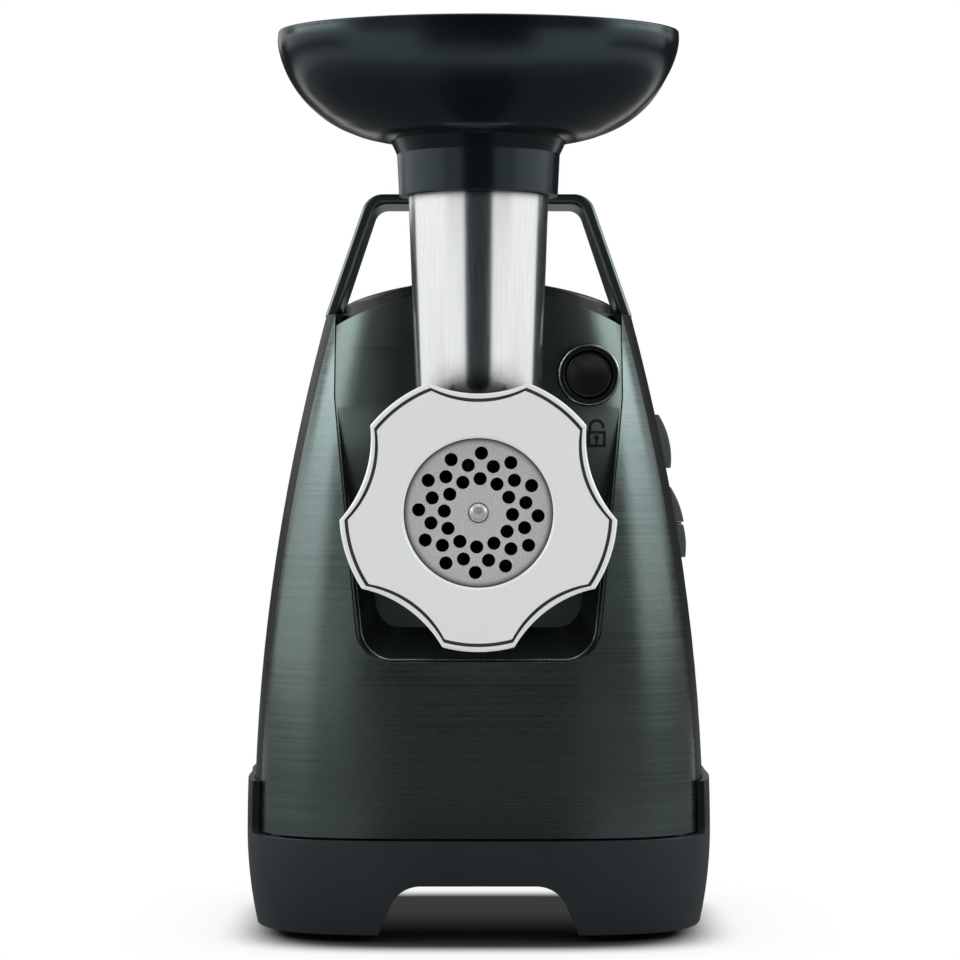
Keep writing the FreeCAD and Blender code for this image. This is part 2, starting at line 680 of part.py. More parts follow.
def make_feed_tube():
    grip_z = BOSS_TOP_Z - TUBE_GRIP
    collar_z = TUBE_TOP_Z - COLLAR_H
    return turned_z([
        (TUBE_FOOT_R, grip_z), (TUBE_FOOT_R, BOSS_TOP_Z), (TUBE_TOP_R, collar_z), (TUBE_TOP_R, TUBE_TOP_Z),
        (TUBE_TOP_R - TUBE_WALL, TUBE_TOP_Z), (TUBE_TOP_R - TUBE_WALL, collar_z),
        (TUBE_FOOT_R - TUBE_WALL, BOSS_TOP_Z), (TUBE_FOOT_R - TUBE_WALL, grip_z),
    ], 0.0, TUBE_Y)


def ring_outline(shrink, y):
    """Closed outline of the ring nut: lobes joined by hollow arcs, shrunk at its bevelled front."""
    lobe = RING_LOBE_R - shrink
    dip = RING_DIP_R - shrink
    step = 360.0 / RING_LOBES
    edges = []
    for i in range(RING_LOBES):
        middle = -90.0 + step * i
        angles = [middle - RING_LOBE_ARC / 2, middle, middle + RING_LOBE_ARC / 2]
        low, top, high = [V(x, y, z) for x, z in (polar(lobe, angle) for angle in angles)]
        edges.append(Part.Arc(low, top, high).toShape())
        x, z = polar(dip, middle + step / 2)
        after_x, after_z = polar(lobe, middle + step - RING_LOBE_ARC / 2)
        edges.append(Part.Arc(high, V(x, y, z), V(after_x, y, after_z)).toShape())
    return Part.Wire(edges)


def make_ring_nut():
    outlines = [ring_outline(shrink, RING_FRONT_Y + depth) for shrink, depth in RING_STEPS]
    nut = Part.makeLoft([*outlines, ring_outline(0.0, RING_BACK_Y)], True, True)
    inside = turned_y([
        (0, RING_FRONT_Y - 1.0), (RING_MOUTH_R + 1.8, RING_FRONT_Y - 1.0), (RING_MOUTH_R, RING_FRONT_Y + 0.8),
        (RING_MOUTH_R, PLATE_FRONT_Y), (THREAD_R + FREE, PLATE_FRONT_Y), (THREAD_R + FREE, RING_BACK_Y),
        (0, RING_BACK_Y),
    ])
    return nut.cut(inside)


def make_cutting_plate():
    plate = rod_y(PLATE_R, PLATE_FRONT_Y + RUN, PLATE_BACK_Y)
    holes = [rod_y(PIN_R + RUN, -FAR, FAR), rod_y(1.8, -FAR, FAR, 0.0, OUTPUT_Z - PLATE_R - 0.2)]
    step = 360.0 / HOLES_PER_RING
    for row, radius in enumerate(HOLE_RINGS):
        for i in range(HOLES_PER_RING):
            x, z = polar(radius, HOLES_TURN + step * (i + 0.5 * (row % 2)))
            holes.append(rod_y(PLATE_HOLE_R, PLATE_FRONT_Y - 1.0, PLATE_BACK_Y + 1.0, x, z))
    return plate.cut(holes)


def make_cross_knife():
    y0 = PLATE_BACK_Y + RUN
    hub = rod_y(SQUARE, y0, KNIFE_BACK_Y)
    blades = []
    for i in range(4):
        section = [
            V(0, y0, OUTPUT_Z - BLADE_W / 2), V(0, y0, OUTPUT_Z + BLADE_W / 2 - 2.0),
            V(0, KNIFE_BACK_Y - 2.5, OUTPUT_Z + BLADE_W / 2), V(0, KNIFE_BACK_Y - 2.5, OUTPUT_Z - 1.0),
        ]
        blade = prism(section, V(KNIFE_R, 0, 0)).common(rod_y(KNIFE_R, -FAR, FAR))
        blade.rotate(V(0, 0, OUTPUT_Z), Y_AXIS, 90.0 * i + 45.0)
        blades.append(blade)
    half = SQUARE / 2
    hole = box(-half, half, -FAR, FAR, OUTPUT_Z - half, OUTPUT_Z + half)
    return joined([hub, *blades]).cut(hole)


def make_feed_screw():
    flight_start = CHAMBER_END_Y - 5.0
    flight_length = flight_start - KNIFE_BACK_Y - FLIGHT_T
    outer = CHAMBER_R - FLIGHT_GAP
    inner = CORE_FRONT_R - 1.0
    half = FLIGHT_T / 2
    helix = Part.makeHelix(FLIGHT_PITCH, flight_length, (outer + inner) / 2)
    section = Part.makePolygon([
        V(inner, 0, -half), V(outer, 0, -0.7 * half), V(outer, 0, 0.7 * half), V(inner, 0, half),
        V(inner, 0, -half),
    ])
    flight = Part.Wire(helix).makePipeShell([section], True, True)
    flight.rotate(V(0, 0, 0), X_AXIS, 90)
    flight.translate(V(0, flight_start - half, OUTPUT_Z))
    core = turned_y([
        (0, KNIFE_BACK_Y), (CORE_FRONT_R, KNIFE_BACK_Y), (CORE_REAR_R, flight_start),
        (CHAMBER_R - 6.0, CHAMBER_END_Y - 3.0), (CHAMBER_R - 6.0, CHAMBER_END_Y - RUN),
        (JOURNAL_R, CHAMBER_END_Y - RUN), (JOURNAL_R, HEAD_REAR_Y + 1.0), (TAIL_R, HEAD_REAR_Y + 1.0),
        (TAIL_R, HUB_END_Y), (0, HUB_END_Y),
    ])
    square = SQUARE / 2
    shank = box(-square, square, PLATE_BACK_Y + RUN, KNIFE_BACK_Y, OUTPUT_Z - square, OUTPUT_Z + square)
    tip = PLATE_FRONT_Y - 1.2
    pin = turned_y([
        (0, tip), (0.6 * PIN_R, tip + 0.2), (PIN_R, tip + 1.6), (PIN_R, KNIFE_BACK_Y), (0, KNIFE_BACK_Y),
    ])
    return joined([core, flight, shank, pin])


def hexagon(flats, y0, y1):
    corner = flats / math.sqrt(3.0)
    return prism_y([polar(corner, 60.0 * i) for i in range(6)], y0, y1)


def make_drive_coupling():
    body = hexagon(HEX, HEAD_REAR_Y + 1.0, CASE_FRONT_Y + 2.5)
    return body.cut(rod_y(TAIL_R, HEAD_REAR_Y + 1.0, HUB_END_Y))


def make_screw_bush():
    return tube_y(JOURNAL_R + 3.0, JOURNAL_R + RUN, CHAMBER_END_Y, HEAD_REAR_Y)


def make_head_socket():
    lip_y = LUG_FRONT_Y - 0.5
    socket = tube_y(SOCKET_R, BARREL_R + 0.35, SOCKET_FRONT_Y, CASE_FRONT_Y)
    rim = [edge for edge in socket.Edges if is_rim(edge, SOCKET_R, SOCKET_FRONT_Y)]
    socket = socket.makeChamfer(1.5, rim)
    socket = socket.cut(rod_y(LUG_R + 0.6, lip_y, CASE_FRONT_Y))
    for i in range(3):
        entry = lug(LOCK_ANGLE + 120.0 * i, LUG_R + 0.6, LUG_ARC + 6.0, SOCKET_FRONT_Y, CASE_FRONT_Y)
        socket = socket.cut(entry)
    reach = LATCH_W / 2 + 0.6
    notch = box(0.0, FAR, lip_y, CASE_FRONT_Y - 1.0, OUTPUT_Z - reach, OUTPUT_Z + reach)
    notch.rotate(V(0, 0, OUTPUT_Z), Y_AXIS, -LOCK_ANGLE)
    socket = socket.cut(notch)
    for x, z in socket_screw_places():
        socket = socket.cut(rod_y(SCREW_R, -FAR, FAR, x, z))
        socket = socket.cut(rod_y(1.5 * SCREW_R + 0.2, -FAR, SOCKET_FRONT_Y + 3.0, x, z))
    return socket


def is_rim(edge, radius, y):
    curve = edge.Curve
    if not isinstance(curve, Part.Circle):
        return False
    return abs(curve.Radius - radius) < 1e-6 and abs(curve.Center.y - y) < 1e-6


def socket_screw_places():
    middle = (SOCKET_R + LUG_R + 0.6) / 2
    return [polar(middle, LOCK_ANGLE + 60.0 + 120.0 * i) for i in range(3)]


def machine_screw(x, z, head_y, end_y, forward=1.0):
    """Pan-head screw along Y, its head at head_y and its end at end_y."""
    start, stop = sorted((head_y, end_y))
    shank = rod_y(SCREW_R, start, stop, x, z)
    low, high = sorted((head_y, head_y + 2.0 * forward))
    head = rod_y(1.5 * SCREW_R, low, high, x, z)
    slot = box(x - SCREW_R, x + SCREW_R, head_y - 0.6, head_y + 0.6, z - 0.4, z + 0.4)
    return head.fuse(shank).removeSplitter().cut(slot)


def make_socket_screws():
    end = CASE_FRONT_Y + CASE_WALL - 0.5
    head_y = SOCKET_FRONT_Y + 1.0
    return Part.makeCompound([machine_screw(x, z, head_y, end) for x, z in socket_screw_places()])


# Gear train

def involute(angle):
    return math.tan(angle) - angle


def gear(module, teeth, y0, y1, x, z, bore, phase):
    """Spur gear about a Y axis, with a tooth at the angle phase (degrees from +X towards +Z)."""
    pitch = module * teeth / 2
    base = pitch * math.cos(PRESSURE)
    root = pitch - DEDENDUM * module
    tip = pitch + ADDENDUM * module
    middle = math.pi / (2 * teeth) - BACKLASH * module / pitch / 2 + involute(PRESSURE)
    foot = max(root, base)
    flank = [(root, middle - involute(math.acos(base / foot)))]
    for radius in spaced(foot, tip, 3):
        flank.append((radius, middle - involute(math.acos(base / radius))))
    points = []
    for i in range(teeth):
        centre = math.radians(phase) + 2 * math.pi * i / teeth
        for radius, half in [(r, -h) for r, h in flank] + [(r, h) for r, h in reversed(flank)]:
            points.append((x + radius * math.cos(centre + half), z + radius * math.sin(centre + half)))
    unique = [p for p, q in zip(points, points[-1:] + points[:-1]) if math.dist(p, q) > 1e-4]
    return prism_y(unique, y0, y1).cut(rod_y(bore, y0 - 1.0, y1 + 1.0, x, z))


def towards(x0, z0, x1, z1):
    return math.degrees(math.atan2(z1 - z0, x1 - x0))


def facing(x0, z0, x1, z1, teeth):
    """Phase that puts a gap, not a tooth, on the line to the mating gear."""
    return towards(x0, z0, x1, z1) + 180.0 / teeth


def make_output_gear():
    phase = towards(0.0, OUTPUT_Z, IDLER_X, IDLER_Z)
    end = OUTPUT_GEAR_Y + OUTPUT_GEAR_W
    wheel = gear(OUTPUT_MODULE, OUTPUT_TEETH, OUTPUT_GEAR_Y, end, 0.0, OUTPUT_Z, SHAFT_R, phase)
    rim = OUTPUT_MODULE * OUTPUT_TEETH / 2 - 5.0
    return wheel.cut(tube_y(rim, SHAFT_R + 6.0, end - 3.5, end))


def make_idler_pinion():
    phase = facing(IDLER_X, IDLER_Z, 0.0, OUTPUT_Z, PINION_TEETH)
    end = OUTPUT_GEAR_Y + OUTPUT_GEAR_W + 1.0
    bore = IDLER_PIN_R + RUN
    return gear(OUTPUT_MODULE, PINION_TEETH, OUTPUT_GEAR_Y - 1.0, end, IDLER_X, IDLER_Z, bore, phase)


def make_idler_gear():
    phase = towards(IDLER_X, IDLER_Z, 0.0, MOTOR_Z)
    start = OUTPUT_GEAR_Y + OUTPUT_GEAR_W + 1.0
    end = IDLER_GEAR_Y + IDLER_GEAR_W
    bore = IDLER_PIN_R + RUN
    wheel = gear(MOTOR_MODULE, IDLER_TEETH, start, end, IDLER_X, IDLER_Z, bore, phase)
    rim = MOTOR_MODULE * IDLER_TEETH / 2 - 4.0
    return wheel.cut(tube_y(rim, bore + 5.0, end - 3.0, end, IDLER_X, IDLER_Z))


def make_motor_pinion():
    phase = facing(0.0, MOTOR_Z, IDLER_X, IDLER_Z, PINION_TEETH)
    end = IDLER_GEAR_Y + IDLER_GEAR_W + 1.0
    return gear(MOTOR_MODULE, PINION_TEETH, IDLER_GEAR_Y - 0.5, end, 0.0, MOTOR_Z, 0.5 * MOTOR_SHAFT_R, phase)


def make_idler_pin():
    return rod_y(IDLER_PIN_R, CASE_FRONT_Y + 1.0, COVER_END_Y - 1.0, IDLER_X, IDLER_Z)


def make_output_shaft():
    drive = turned_y([
        (0, HUB_END_Y - 2.0), (DRIVE_R, HUB_END_Y - 2.0), (DRIVE_R, OUTPUT_GEAR_Y), (SHAFT_R, OUTPUT_GEAR_Y),
        (SHAFT_R, COVER_END_Y), (0, COVER_END_Y),
    ])
    return drive.cut(hexagon(HEX + 2 * RUN, HUB_END_Y - 3.0, CASE_FRONT_Y + 3.0))


def make_output_bush():
    return tube_y(DRIVE_R + 3.0, DRIVE_R + RUN, CASE_FRONT_Y, CASE_FRONT_Y + CASE_WALL)


def make_output_rear_bush():
    return tube_y(SHAFT_R + 2.5, SHAFT_R + RUN, COVER_Y, COVER_END_Y)


def case_rounds():
    """The three rounds of the gear case as (x, z, gear tip radius)."""
    return [
        (0.0, OUTPUT_Z, OUTPUT_MODULE * (OUTPUT_TEETH / 2 + ADDENDUM)),
        (IDLER_X, IDLER_Z, MOTOR_MODULE * (IDLER_TEETH / 2 + ADDENDUM)),
        (0.0, MOTOR_Z, MOTOR_MODULE * (PINION_TEETH / 2 + ADDENDUM) + 4.0),
    ]


def case_block(grow, y0, y1):
    return joined([rod_y(radius + grow, y0, y1, x, z) for x, z, radius in case_rounds()])


def case_screw_places():
    """Screws in ears on the rim of the gear case."""
    places = []
    for degrees in (30.0, 150.0):
        x, z = polar(case_rounds()[0][2] + 2.0 + CASE_RIM, degrees)
        places.append((x, z))
    for side in (-1, 1):
        idler = case_rounds()[1]
        places.append((idler[0] + side * (idler[2] + 2.0 + CASE_RIM), idler[1] - 8.0))
    return places


def case_ears(y0, y1):
    return [rod_y(2.6 * SCREW_R, y0, y1, x, z) for x, z in case_screw_places()]


def make_gear_case():
    hollow_y = CASE_FRONT_Y + CASE_WALL
    seat = rod_y(SOCKET_R, CASE_FRONT_Y, hollow_y)
    case = joined([case_block(2.0 + CASE_RIM, CASE_FRONT_Y, COVER_Y), seat, *case_ears(hollow_y, COVER_Y)])
    case = case.cut(case_block(2.0, hollow_y, COVER_Y))
    case = case.cut(rod_y(DRIVE_R + 3.0, CASE_FRONT_Y - 1.0, hollow_y + 1.0))
    case = case.cut(make_idler_pin())
    for x, z in socket_screw_places():
        case = case.cut(rod_y(SCREW_R, CASE_FRONT_Y - 1.0, hollow_y - 0.5, x, z))
    for x, z in case_screw_places():
        case = case.cut(rod_y(SCREW_R, COVER_Y - 12.0, COVER_Y, x, z))
    return case


def make_gear_case_cover():
    cover = joined([case_block(2.0 + CASE_RIM, COVER_Y, COVER_END_Y), *case_ears(COVER_Y, COVER_END_Y)])
    cover = cover.cut(make_idler_pin())
    cover = cover.cut(rod_y(SHAFT_R + 2.5, COVER_Y, COVER_END_Y))
    cover = cover.cut(rod_y(MOTOR_SHAFT_R + 2.5, COVER_Y, COVER_END_Y, 0.0, MOTOR_Z))
    for x, z in case_screw_places():
        cover = cover.cut(rod_y(SCREW_R, COVER_Y, COVER_END_Y, x, z))
    return cover


def make_gear_case_screws():
    end = COVER_Y - 11.0
    head_y = COVER_END_Y + 2.0
    return Part.makeCompound([machine_screw(x, z, head_y, end, -1.0) for x, z in case_screw_places()])


# Motor

def motor_rod(radius, y0, y1):
    return rod_y(radius, y0, y1, 0.0, MOTOR_Z)


def motor_ring(outer, inner, y0, y1):
    return tube_y(outer, inner, y0, y1, 0.0, MOTOR_Z)


def make_motor_shaft():
    front = IDLER_GEAR_Y - 0.5
    long = motor_rod(MOTOR_SHAFT_R, IDLER_GEAR_Y + IDLER_GEAR_W + 1.0, MOTOR_END_Y)
    return long.fuse(motor_rod(0.5 * MOTOR_SHAFT_R, front, MOTOR_END_Y)).removeSplitter()


def make_motor_front_bush():
    return motor_ring(MOTOR_SHAFT_R + 2.5, MOTOR_SHAFT_R + RUN, COVER_Y, COVER_END_Y)


def make_motor_rear_bush():
    return motor_ring(MOTOR_SHAFT_R + 2.5, MOTOR_SHAFT_R + RUN, BRACKET_Y, BRACKET_Y + BRACKET_T)


def make_armature():
    stack = motor_ring(ARMATURE_R, MOTOR_SHAFT_R, STACK_Y, STACK_END_Y)
    slots = []
    for i in range(12):
        slot = box(ARMATURE_R - 7.0, ARMATURE_R + 1.0, STACK_Y, STACK_END_Y, MOTOR_Z - 1.2, MOTOR_Z + 1.2)
        slot.rotate(V(0, 0, MOTOR_Z), Y_AXIS, 30.0 * i)
        slots.append(slot)
    ends = motor_ring(ARMATURE_R - 8.0, MOTOR_SHAFT_R, STACK_Y - COIL_HANG, STACK_END_Y + COIL_HANG)
    return joined([stack.cut(slots), ends])


def make_commutator():
    ring = motor_ring(COMMUTATOR_R, MOTOR_SHAFT_R, COMMUTATOR_Y - 1.0, COMMUTATOR_Y + COMMUTATOR_L)
    cuts = []
    for i in range(12):
        end = COMMUTATOR_Y + COMMUTATOR_L
        cut = box(COMMUTATOR_R - 0.8, FAR, COMMUTATOR_Y, end, MOTOR_Z - 0.3, MOTOR_Z + 0.3)
        cut.rotate(V(0, 0, MOTOR_Z), Y_AXIS, 30.0 * i + 15.0)
        cuts.append(cut)
    return ring.cut(cuts)


def make_cooling_fan():
    hub = motor_ring(MOTOR_SHAFT_R + 4.0, MOTOR_SHAFT_R, FAN_Y, FAN_Y + FAN_W)
    disc = motor_ring(FAN_R, MOTOR_SHAFT_R, FAN_Y, FAN_Y + 1.8)
    blades = []
    for i in range(FAN_BLADES):
        blade = box(MOTOR_SHAFT_R + 3.0, FAN_R - 1.0, FAN_Y, FAN_Y + FAN_W, MOTOR_Z - 0.8, MOTOR_Z + 0.8)
        blade.rotate(V(0, 0, MOTOR_Z), Y_AXIS, 360.0 / FAN_BLADES * i)
        blades.append(blade)
    return joined([hub, disc, *blades])


def coil_sector(grow, y0, y1, side):
    """Half of a ring beside the armature, where a field coil lies."""
    inner = ARMATURE_R + AIR_GAP + 1.0 - grow
    outer = ARMATURE_R + AIR_GAP + 1.0 + COIL_DEPTH + grow
    reach = 2 * outer
    lift = COIL_SLOPE * reach + grow
    tip = (-side * grow / COIL_SLOPE, MOTOR_Z)
    wedge = [tip, (side * reach, MOTOR_Z - lift), (side * reach, MOTOR_Z + lift)]
    return motor_ring(outer, inner, y0, y1).common(prism_y(wedge, y0, y1))


def make_stator():
    half = STATOR_HALF
    stack = box(-half, half, STACK_Y, STACK_END_Y, MOTOR_Z - half, MOTOR_Z + half)
    stack = rounded(stack, 9.0, along_y)
    stack = stack.cut(motor_rod(ARMATURE_R + AIR_GAP, STACK_Y, STACK_END_Y))
    for side in (-1, 1):
        stack = stack.cut(coil_sector(FIT, STACK_Y, STACK_END_Y, side))
    for x, z in bracket_places():
        stack = stack.cut(rod_y(SCREW_R, STACK_END_Y - 10.0, STACK_END_Y, x, z))
    return stack


def make_field_coils():
    y0 = STACK_Y - COIL_HANG
    y1 = STACK_END_Y + COIL_HANG
    return Part.makeCompound([coil_sector(0.0, y0, y1, side) for side in (-1, 1)])


def bracket_places():
    reach = STATOR_HALF - PILLAR_R - 1.0
    return [(side * reach, MOTOR_Z + rise * PILLAR_RISE) for side in (-1, 1) for rise in (-1, 1)]


def make_motor_end_bracket():
    reach = STATOR_HALF - 1.0
    end = BRACKET_Y + BRACKET_T
    rise = PILLAR_RISE + PILLAR_R
    plate = box(-reach, reach, BRACKET_Y, end, MOTOR_Z - rise, MOTOR_Z + rise)
    plate = rounded(plate, PILLAR_R, along_y)
    pillars = [rod_y(PILLAR_R, STACK_END_Y, BRACKET_Y, x, z) for x, z in bracket_places()]
    bracket = joined([plate, *pillars])
    bracket = bracket.cut(motor_rod(MOTOR_SHAFT_R + 2.5, BRACKET_Y, end))
    for x, z in bracket_places():
        bracket = bracket.cut(rod_y(SCREW_R, STACK_END_Y, end, x, z))
    return bracket


def make_bracket_screws():
    head = BRACKET_Y + BRACKET_T + 2.0
    screws = [machine_screw(x, z, head, STACK_END_Y - 9.0, -1.0) for x, z in bracket_places()]
    return Part.makeCompound(screws)


def brush_box(grow, inner, outer, side):
    middle = COMMUTATOR_Y + COMMUTATOR_L / 2
    x0, x1 = sorted((side * inner, side * outer))
    return box(x0, x1, middle - 2.5 - grow, middle + 2.5 + grow, MOTOR_Z - 3.0 - grow, MOTOR_Z + 3.0 + grow)


def make_brush_holders():
    holders = []
    for side in (-1, 1):
        sleeve = brush_box(1.4, COMMUTATOR_R + 2.0, COMMUTATOR_R + 15.0, side)
        x0, x1 = sorted((side * (COMMUTATOR_R + 4.0), side * (COMMUTATOR_R + 12.0)))
        foot = box(x0, x1, COMMUTATOR_Y + 1.0, BRACKET_Y, MOTOR_Z - 6.0, MOTOR_Z + 6.0)
        sleeve = joined([sleeve, foot])
        holders.append(sleeve.cut(brush_box(0.1, COMMUTATOR_R, COMMUTATOR_R + 13.5, side)))
    return Part.makeCompound(holders)


def make_carbon_brushes():
    face = motor_rod(COMMUTATOR_R + RUN, -FAR, FAR)
    boxes = [brush_box(0.0, COMMUTATOR_R - 1.0, COMMUTATOR_R + 12.0, side) for side in (-1, 1)]
    return Part.makeCompound([brush.cut(face) for brush in boxes])


def make_motor_cradle():
    low = TUNNEL_TOP_Z + WALL
    half = TUNNEL_TOP_HALF - TUNNEL_ROUND
    y0 = STACK_Y + 4.0
    y1 = STACK_END_Y - 4.0
    cradle = box(-half, half, y0, y1, low, MOTOR_Z - STATOR_HALF)
    return cradle.cut(box(-half + 6.0, half - 6.0, y0 - 1.0, y1 + 1.0, low, MOTOR_Z - STATOR_HALF - 6.0))


# Tray

def tray_draw(z):
    """How far the bowl has drawn in at height z: a bowl between a round and a parabola."""
    share = min(max((TRAY_CURVE_Z - z) / (TRAY_CURVE_Z - TRAY_FLOOR_Z), 0.0), 1.0)
    return TRAY_BOWL * (1.0 - math.sqrt(1.0 - share**2)) + (1.0 - TRAY_BOWL) * share**2


def tray_section(z, inset, at_z=None):
    draw = tray_draw(z)
    half = TRAY_HALF - TRAY_DROP * draw - inset
    front = TRAY_FRONT_DEPTH - TRAY_FRONT_DROP * draw - inset
    rear = TRAY_REAR_DEPTH - TRAY_REAR_DROP * smooth(1.15 * draw) - inset
    rear_power = 2.0 + (TRAY_REAR_POWER - 2.0) * (1.0 - draw)
    points = []
    for i in range(32):
        angle = 2 * math.pi * i / 32
        along = math.sin(angle)
        power = rear_power if along > 0 else 2.0
        depth = rear if along > 0 else front
        x = half * power_curve(math.cos(angle), power)
        points.append(V(x, TUBE_Y + depth * power_curve(along, power), z if at_z is None else at_z))
    return closed_curve(points)


def tray_heights(low):
    """Heights of the bowl's sections, closer together towards the floor."""
    return [low + (TRAY_CURVE_Z - low) * share**1.7 for share in spaced(0.0, 1.0, 8)]


def make_tray():
    low = TRAY_FLOOR_Z
    bowl = Part.makeLoft([tray_section(z, 0.0) for z in tray_heights(low)], True, False)
    rim = Part.Face(tray_section(TRAY_RIM_Z, 0.0, TRAY_CURVE_Z)).extrude(V(0, 0, TRAY_RIM_H))
    rim = rounded(rim, TRAY_EDGE, lambda edge: edge.BoundBox.ZMin > TRAY_RIM_Z - 0.1)
    collar_z = TUBE_TOP_Z - COLLAR_H
    collar = turned_z([
        (0, collar_z), (COLLAR_R - COLLAR_DRAW, collar_z), (COLLAR_R, low - COLLAR_FLARE_H),
        (COLLAR_R + COLLAR_FLARE, low + 0.5), (0, low + 0.5),
    ], 0.0, TUBE_Y)
    tray = joined([bowl, rim, collar])
    raised = zip(tray_heights(low), tray_heights(low + TRAY_WALL))
    tray = tray.cut(Part.makeLoft([tray_section(z, TRAY_WALL, at) for z, at in raised], True, False))
    tray = tray.cut(Part.Face(tray_section(TRAY_RIM_Z, TRAY_WALL, TRAY_CURVE_Z)).extrude(V(0, 0, FAR)))
    tray = tray.cut(rod_z(TUBE_TOP_R - TUBE_WALL, 0.0, FAR, 0.0, TUBE_Y))
    return tray.cut(rod_z(TUBE_TOP_R + 0.35, 0.0, TUBE_TOP_Z, 0.0, TUBE_Y))


# Head lock

def arm_to_head(half_width, reach_from, reach_to, y0, y1):
    """Bar from the lock's axis towards the feed screw's axis, between two distances from that axis."""
    bar = box(reach_from, reach_to, y0, y1, OUTPUT_Z - half_width, OUTPUT_Z + half_width)
    bar.rotate(V(0, 0, OUTPUT_Z), Y_AXIS, -LOCK_ANGLE)
    return bar


def make_lock_button():
    cap_front = LOCK_FRONT_Y + 0.8
    cap_back = cap_front + 9.0
    nose_y = LUG_BACK_Y - 0.3
    cap = rod_y(LOCK_R, cap_front, cap_back, LOCK_X, LOCK_Z)
    cap = rounded(cap, 1.2, lambda edge: is_rim(edge, LOCK_R, cap_front))
    dish_r = (LOCK_R - 1.4) ** 2 / (2 * LOCK_DISH)
    cap = cap.cut(Part.makeSphere(dish_r, V(LOCK_X, cap_front + LOCK_DISH - dish_r, LOCK_Z)))
    stem = rod_y(4.0, cap_back, LOCK_REAR_Y - WALL - LOCK_TRAVEL - 1.5, LOCK_X, LOCK_Z)
    arm = arm_to_head(LATCH_W / 2, BARREL_R + 1.2, LOCK_REACH, nose_y - LUG_T + 1.0, nose_y)
    return joined([cap, stem, arm])


def make_lock_bezel():
    y1 = LOCK_REAR_Y
    bezel = rod_y(LOCK_BEZEL_R, LOCK_FRONT_Y, y1, LOCK_X, LOCK_Z)
    bezel = rounded(bezel, 0.8, lambda edge: is_rim(edge, LOCK_BEZEL_R, LOCK_FRONT_Y))
    bezel = bezel.cut(rod_y(LOCK_R + FREE, LOCK_FRONT_Y, y1 - WALL, LOCK_X, LOCK_Z))
    bezel = bezel.cut(rod_y(4.0 + FREE, LOCK_FRONT_Y, y1, LOCK_X, LOCK_Z))
    slot_y = LUG_BACK_Y - LUG_T - 1.0
    slot = arm_to_head(LATCH_W / 2 + FREE, BARREL_R, LOCK_REACH, slot_y, slot_y + LUG_T + LOCK_TRAVEL + 3.0)
    return bezel.cut(slot)


def coil(radius, wire, length):
    """Spring wound along +Z from the origin, in short straight runs with mitred corners."""
    count = SPRING_TURNS * SPRING_RUNS
    points = []
    for i in range(count + 1):
        angle = 2 * math.pi * i / SPRING_RUNS
        points.append(V(radius * math.cos(angle), radius * math.sin(angle), length * i / count))
    along = points[1] - points[0]
    across = along.cross(Z_AXIS).normalize()
    over = across.cross(along).normalize()
    corners = []
    for i in range(6):
        angle = math.pi * i / 3
        corners.append(points[0] + across * (wire * math.cos(angle)) + over * (wire * math.sin(angle)))
    section = Part.makePolygon([*corners, corners[0]])
    return Part.makePolygon(points).makePipeShell([section], True, True, 1)


def make_lock_spring():
    start = LUG_BACK_Y - 0.3
    end = LOCK_REAR_Y - WALL
    spring = coil(LOCK_SPRING_R, LOCK_WIRE, end - start - 2 * LOCK_WIRE - 0.2)
    spring.rotate(V(0, 0, 0), X_AXIS, -90)
    spring.translate(V(LOCK_X, start + LOCK_WIRE + 0.1, LOCK_Z))
    return spring


# Side buttons

def button_back(span):
    """Where a button's cap ends inside the body."""
    return half_width(span[1]) - WALL - 7.0


def make_button(span, proud):
    """Push button with a domed face that stands out of the side wall."""
    z0, z1 = span
    middle = (z0 + z1) / 2
    inner = button_back(span)
    y0 = BUTTON_Y - BUTTON_HALF_W
    low, bulge, high = [V(half_width(z) + out, y0, z) for z, out in zip((z0, middle, z1), proud)]
    face = Part.Arc(low, bulge, high).toShape()
    sides = Part.makePolygon([high, V(inner, y0, z1), V(inner, y0, z0), low])
    cap = Part.Face(Part.Wire([face, *sides.Edges])).extrude(V(0, 2 * BUTTON_HALF_W, 0))
    half = BUTTON_HALF_W + 2.0
    flange = box(inner, inner + 1.6, BUTTON_Y - half, BUTTON_Y + half, z0 + 1.0, z1 - 1.0)
    stem = rod_x(2.4, BOARD_X + BOARD_T + BUTTON_TRAVEL + 0.5, inner + 1.0, BUTTON_Y, middle)
    return joined([cap, flange, stem])


def make_button_spring(span):
    z0, z1 = span
    start = BOARD_X + BOARD_T
    spring = coil(BUTTON_SPRING_R, BUTTON_WIRE, button_back(span) - start - 2 * BUTTON_WIRE - 0.2)
    spring.rotate(V(0, 0, 0), Y_AXIS, 90)
    spring.translate(V(start + BUTTON_WIRE + 0.1, BUTTON_Y, (z0 + z1) / 2))
    return spring


def make_switch_board():
    low, high = board_span()
    half = BUTTON_HALF_W + 10.5
    board = box(BOARD_X, BOARD_X + BOARD_T, BUTTON_Y - half, BUTTON_Y + half, low, high)
    switches = []
    for z0, z1 in BUTTON_SPANS:
        z = (z0 + z1) / 2
        switches.append(box(BOARD_X - 6.0, BOARD_X, BUTTON_Y - 6.0, BUTTON_Y + 6.0, z - 5.0, z + 5.0))
    return joined([board, *switches])


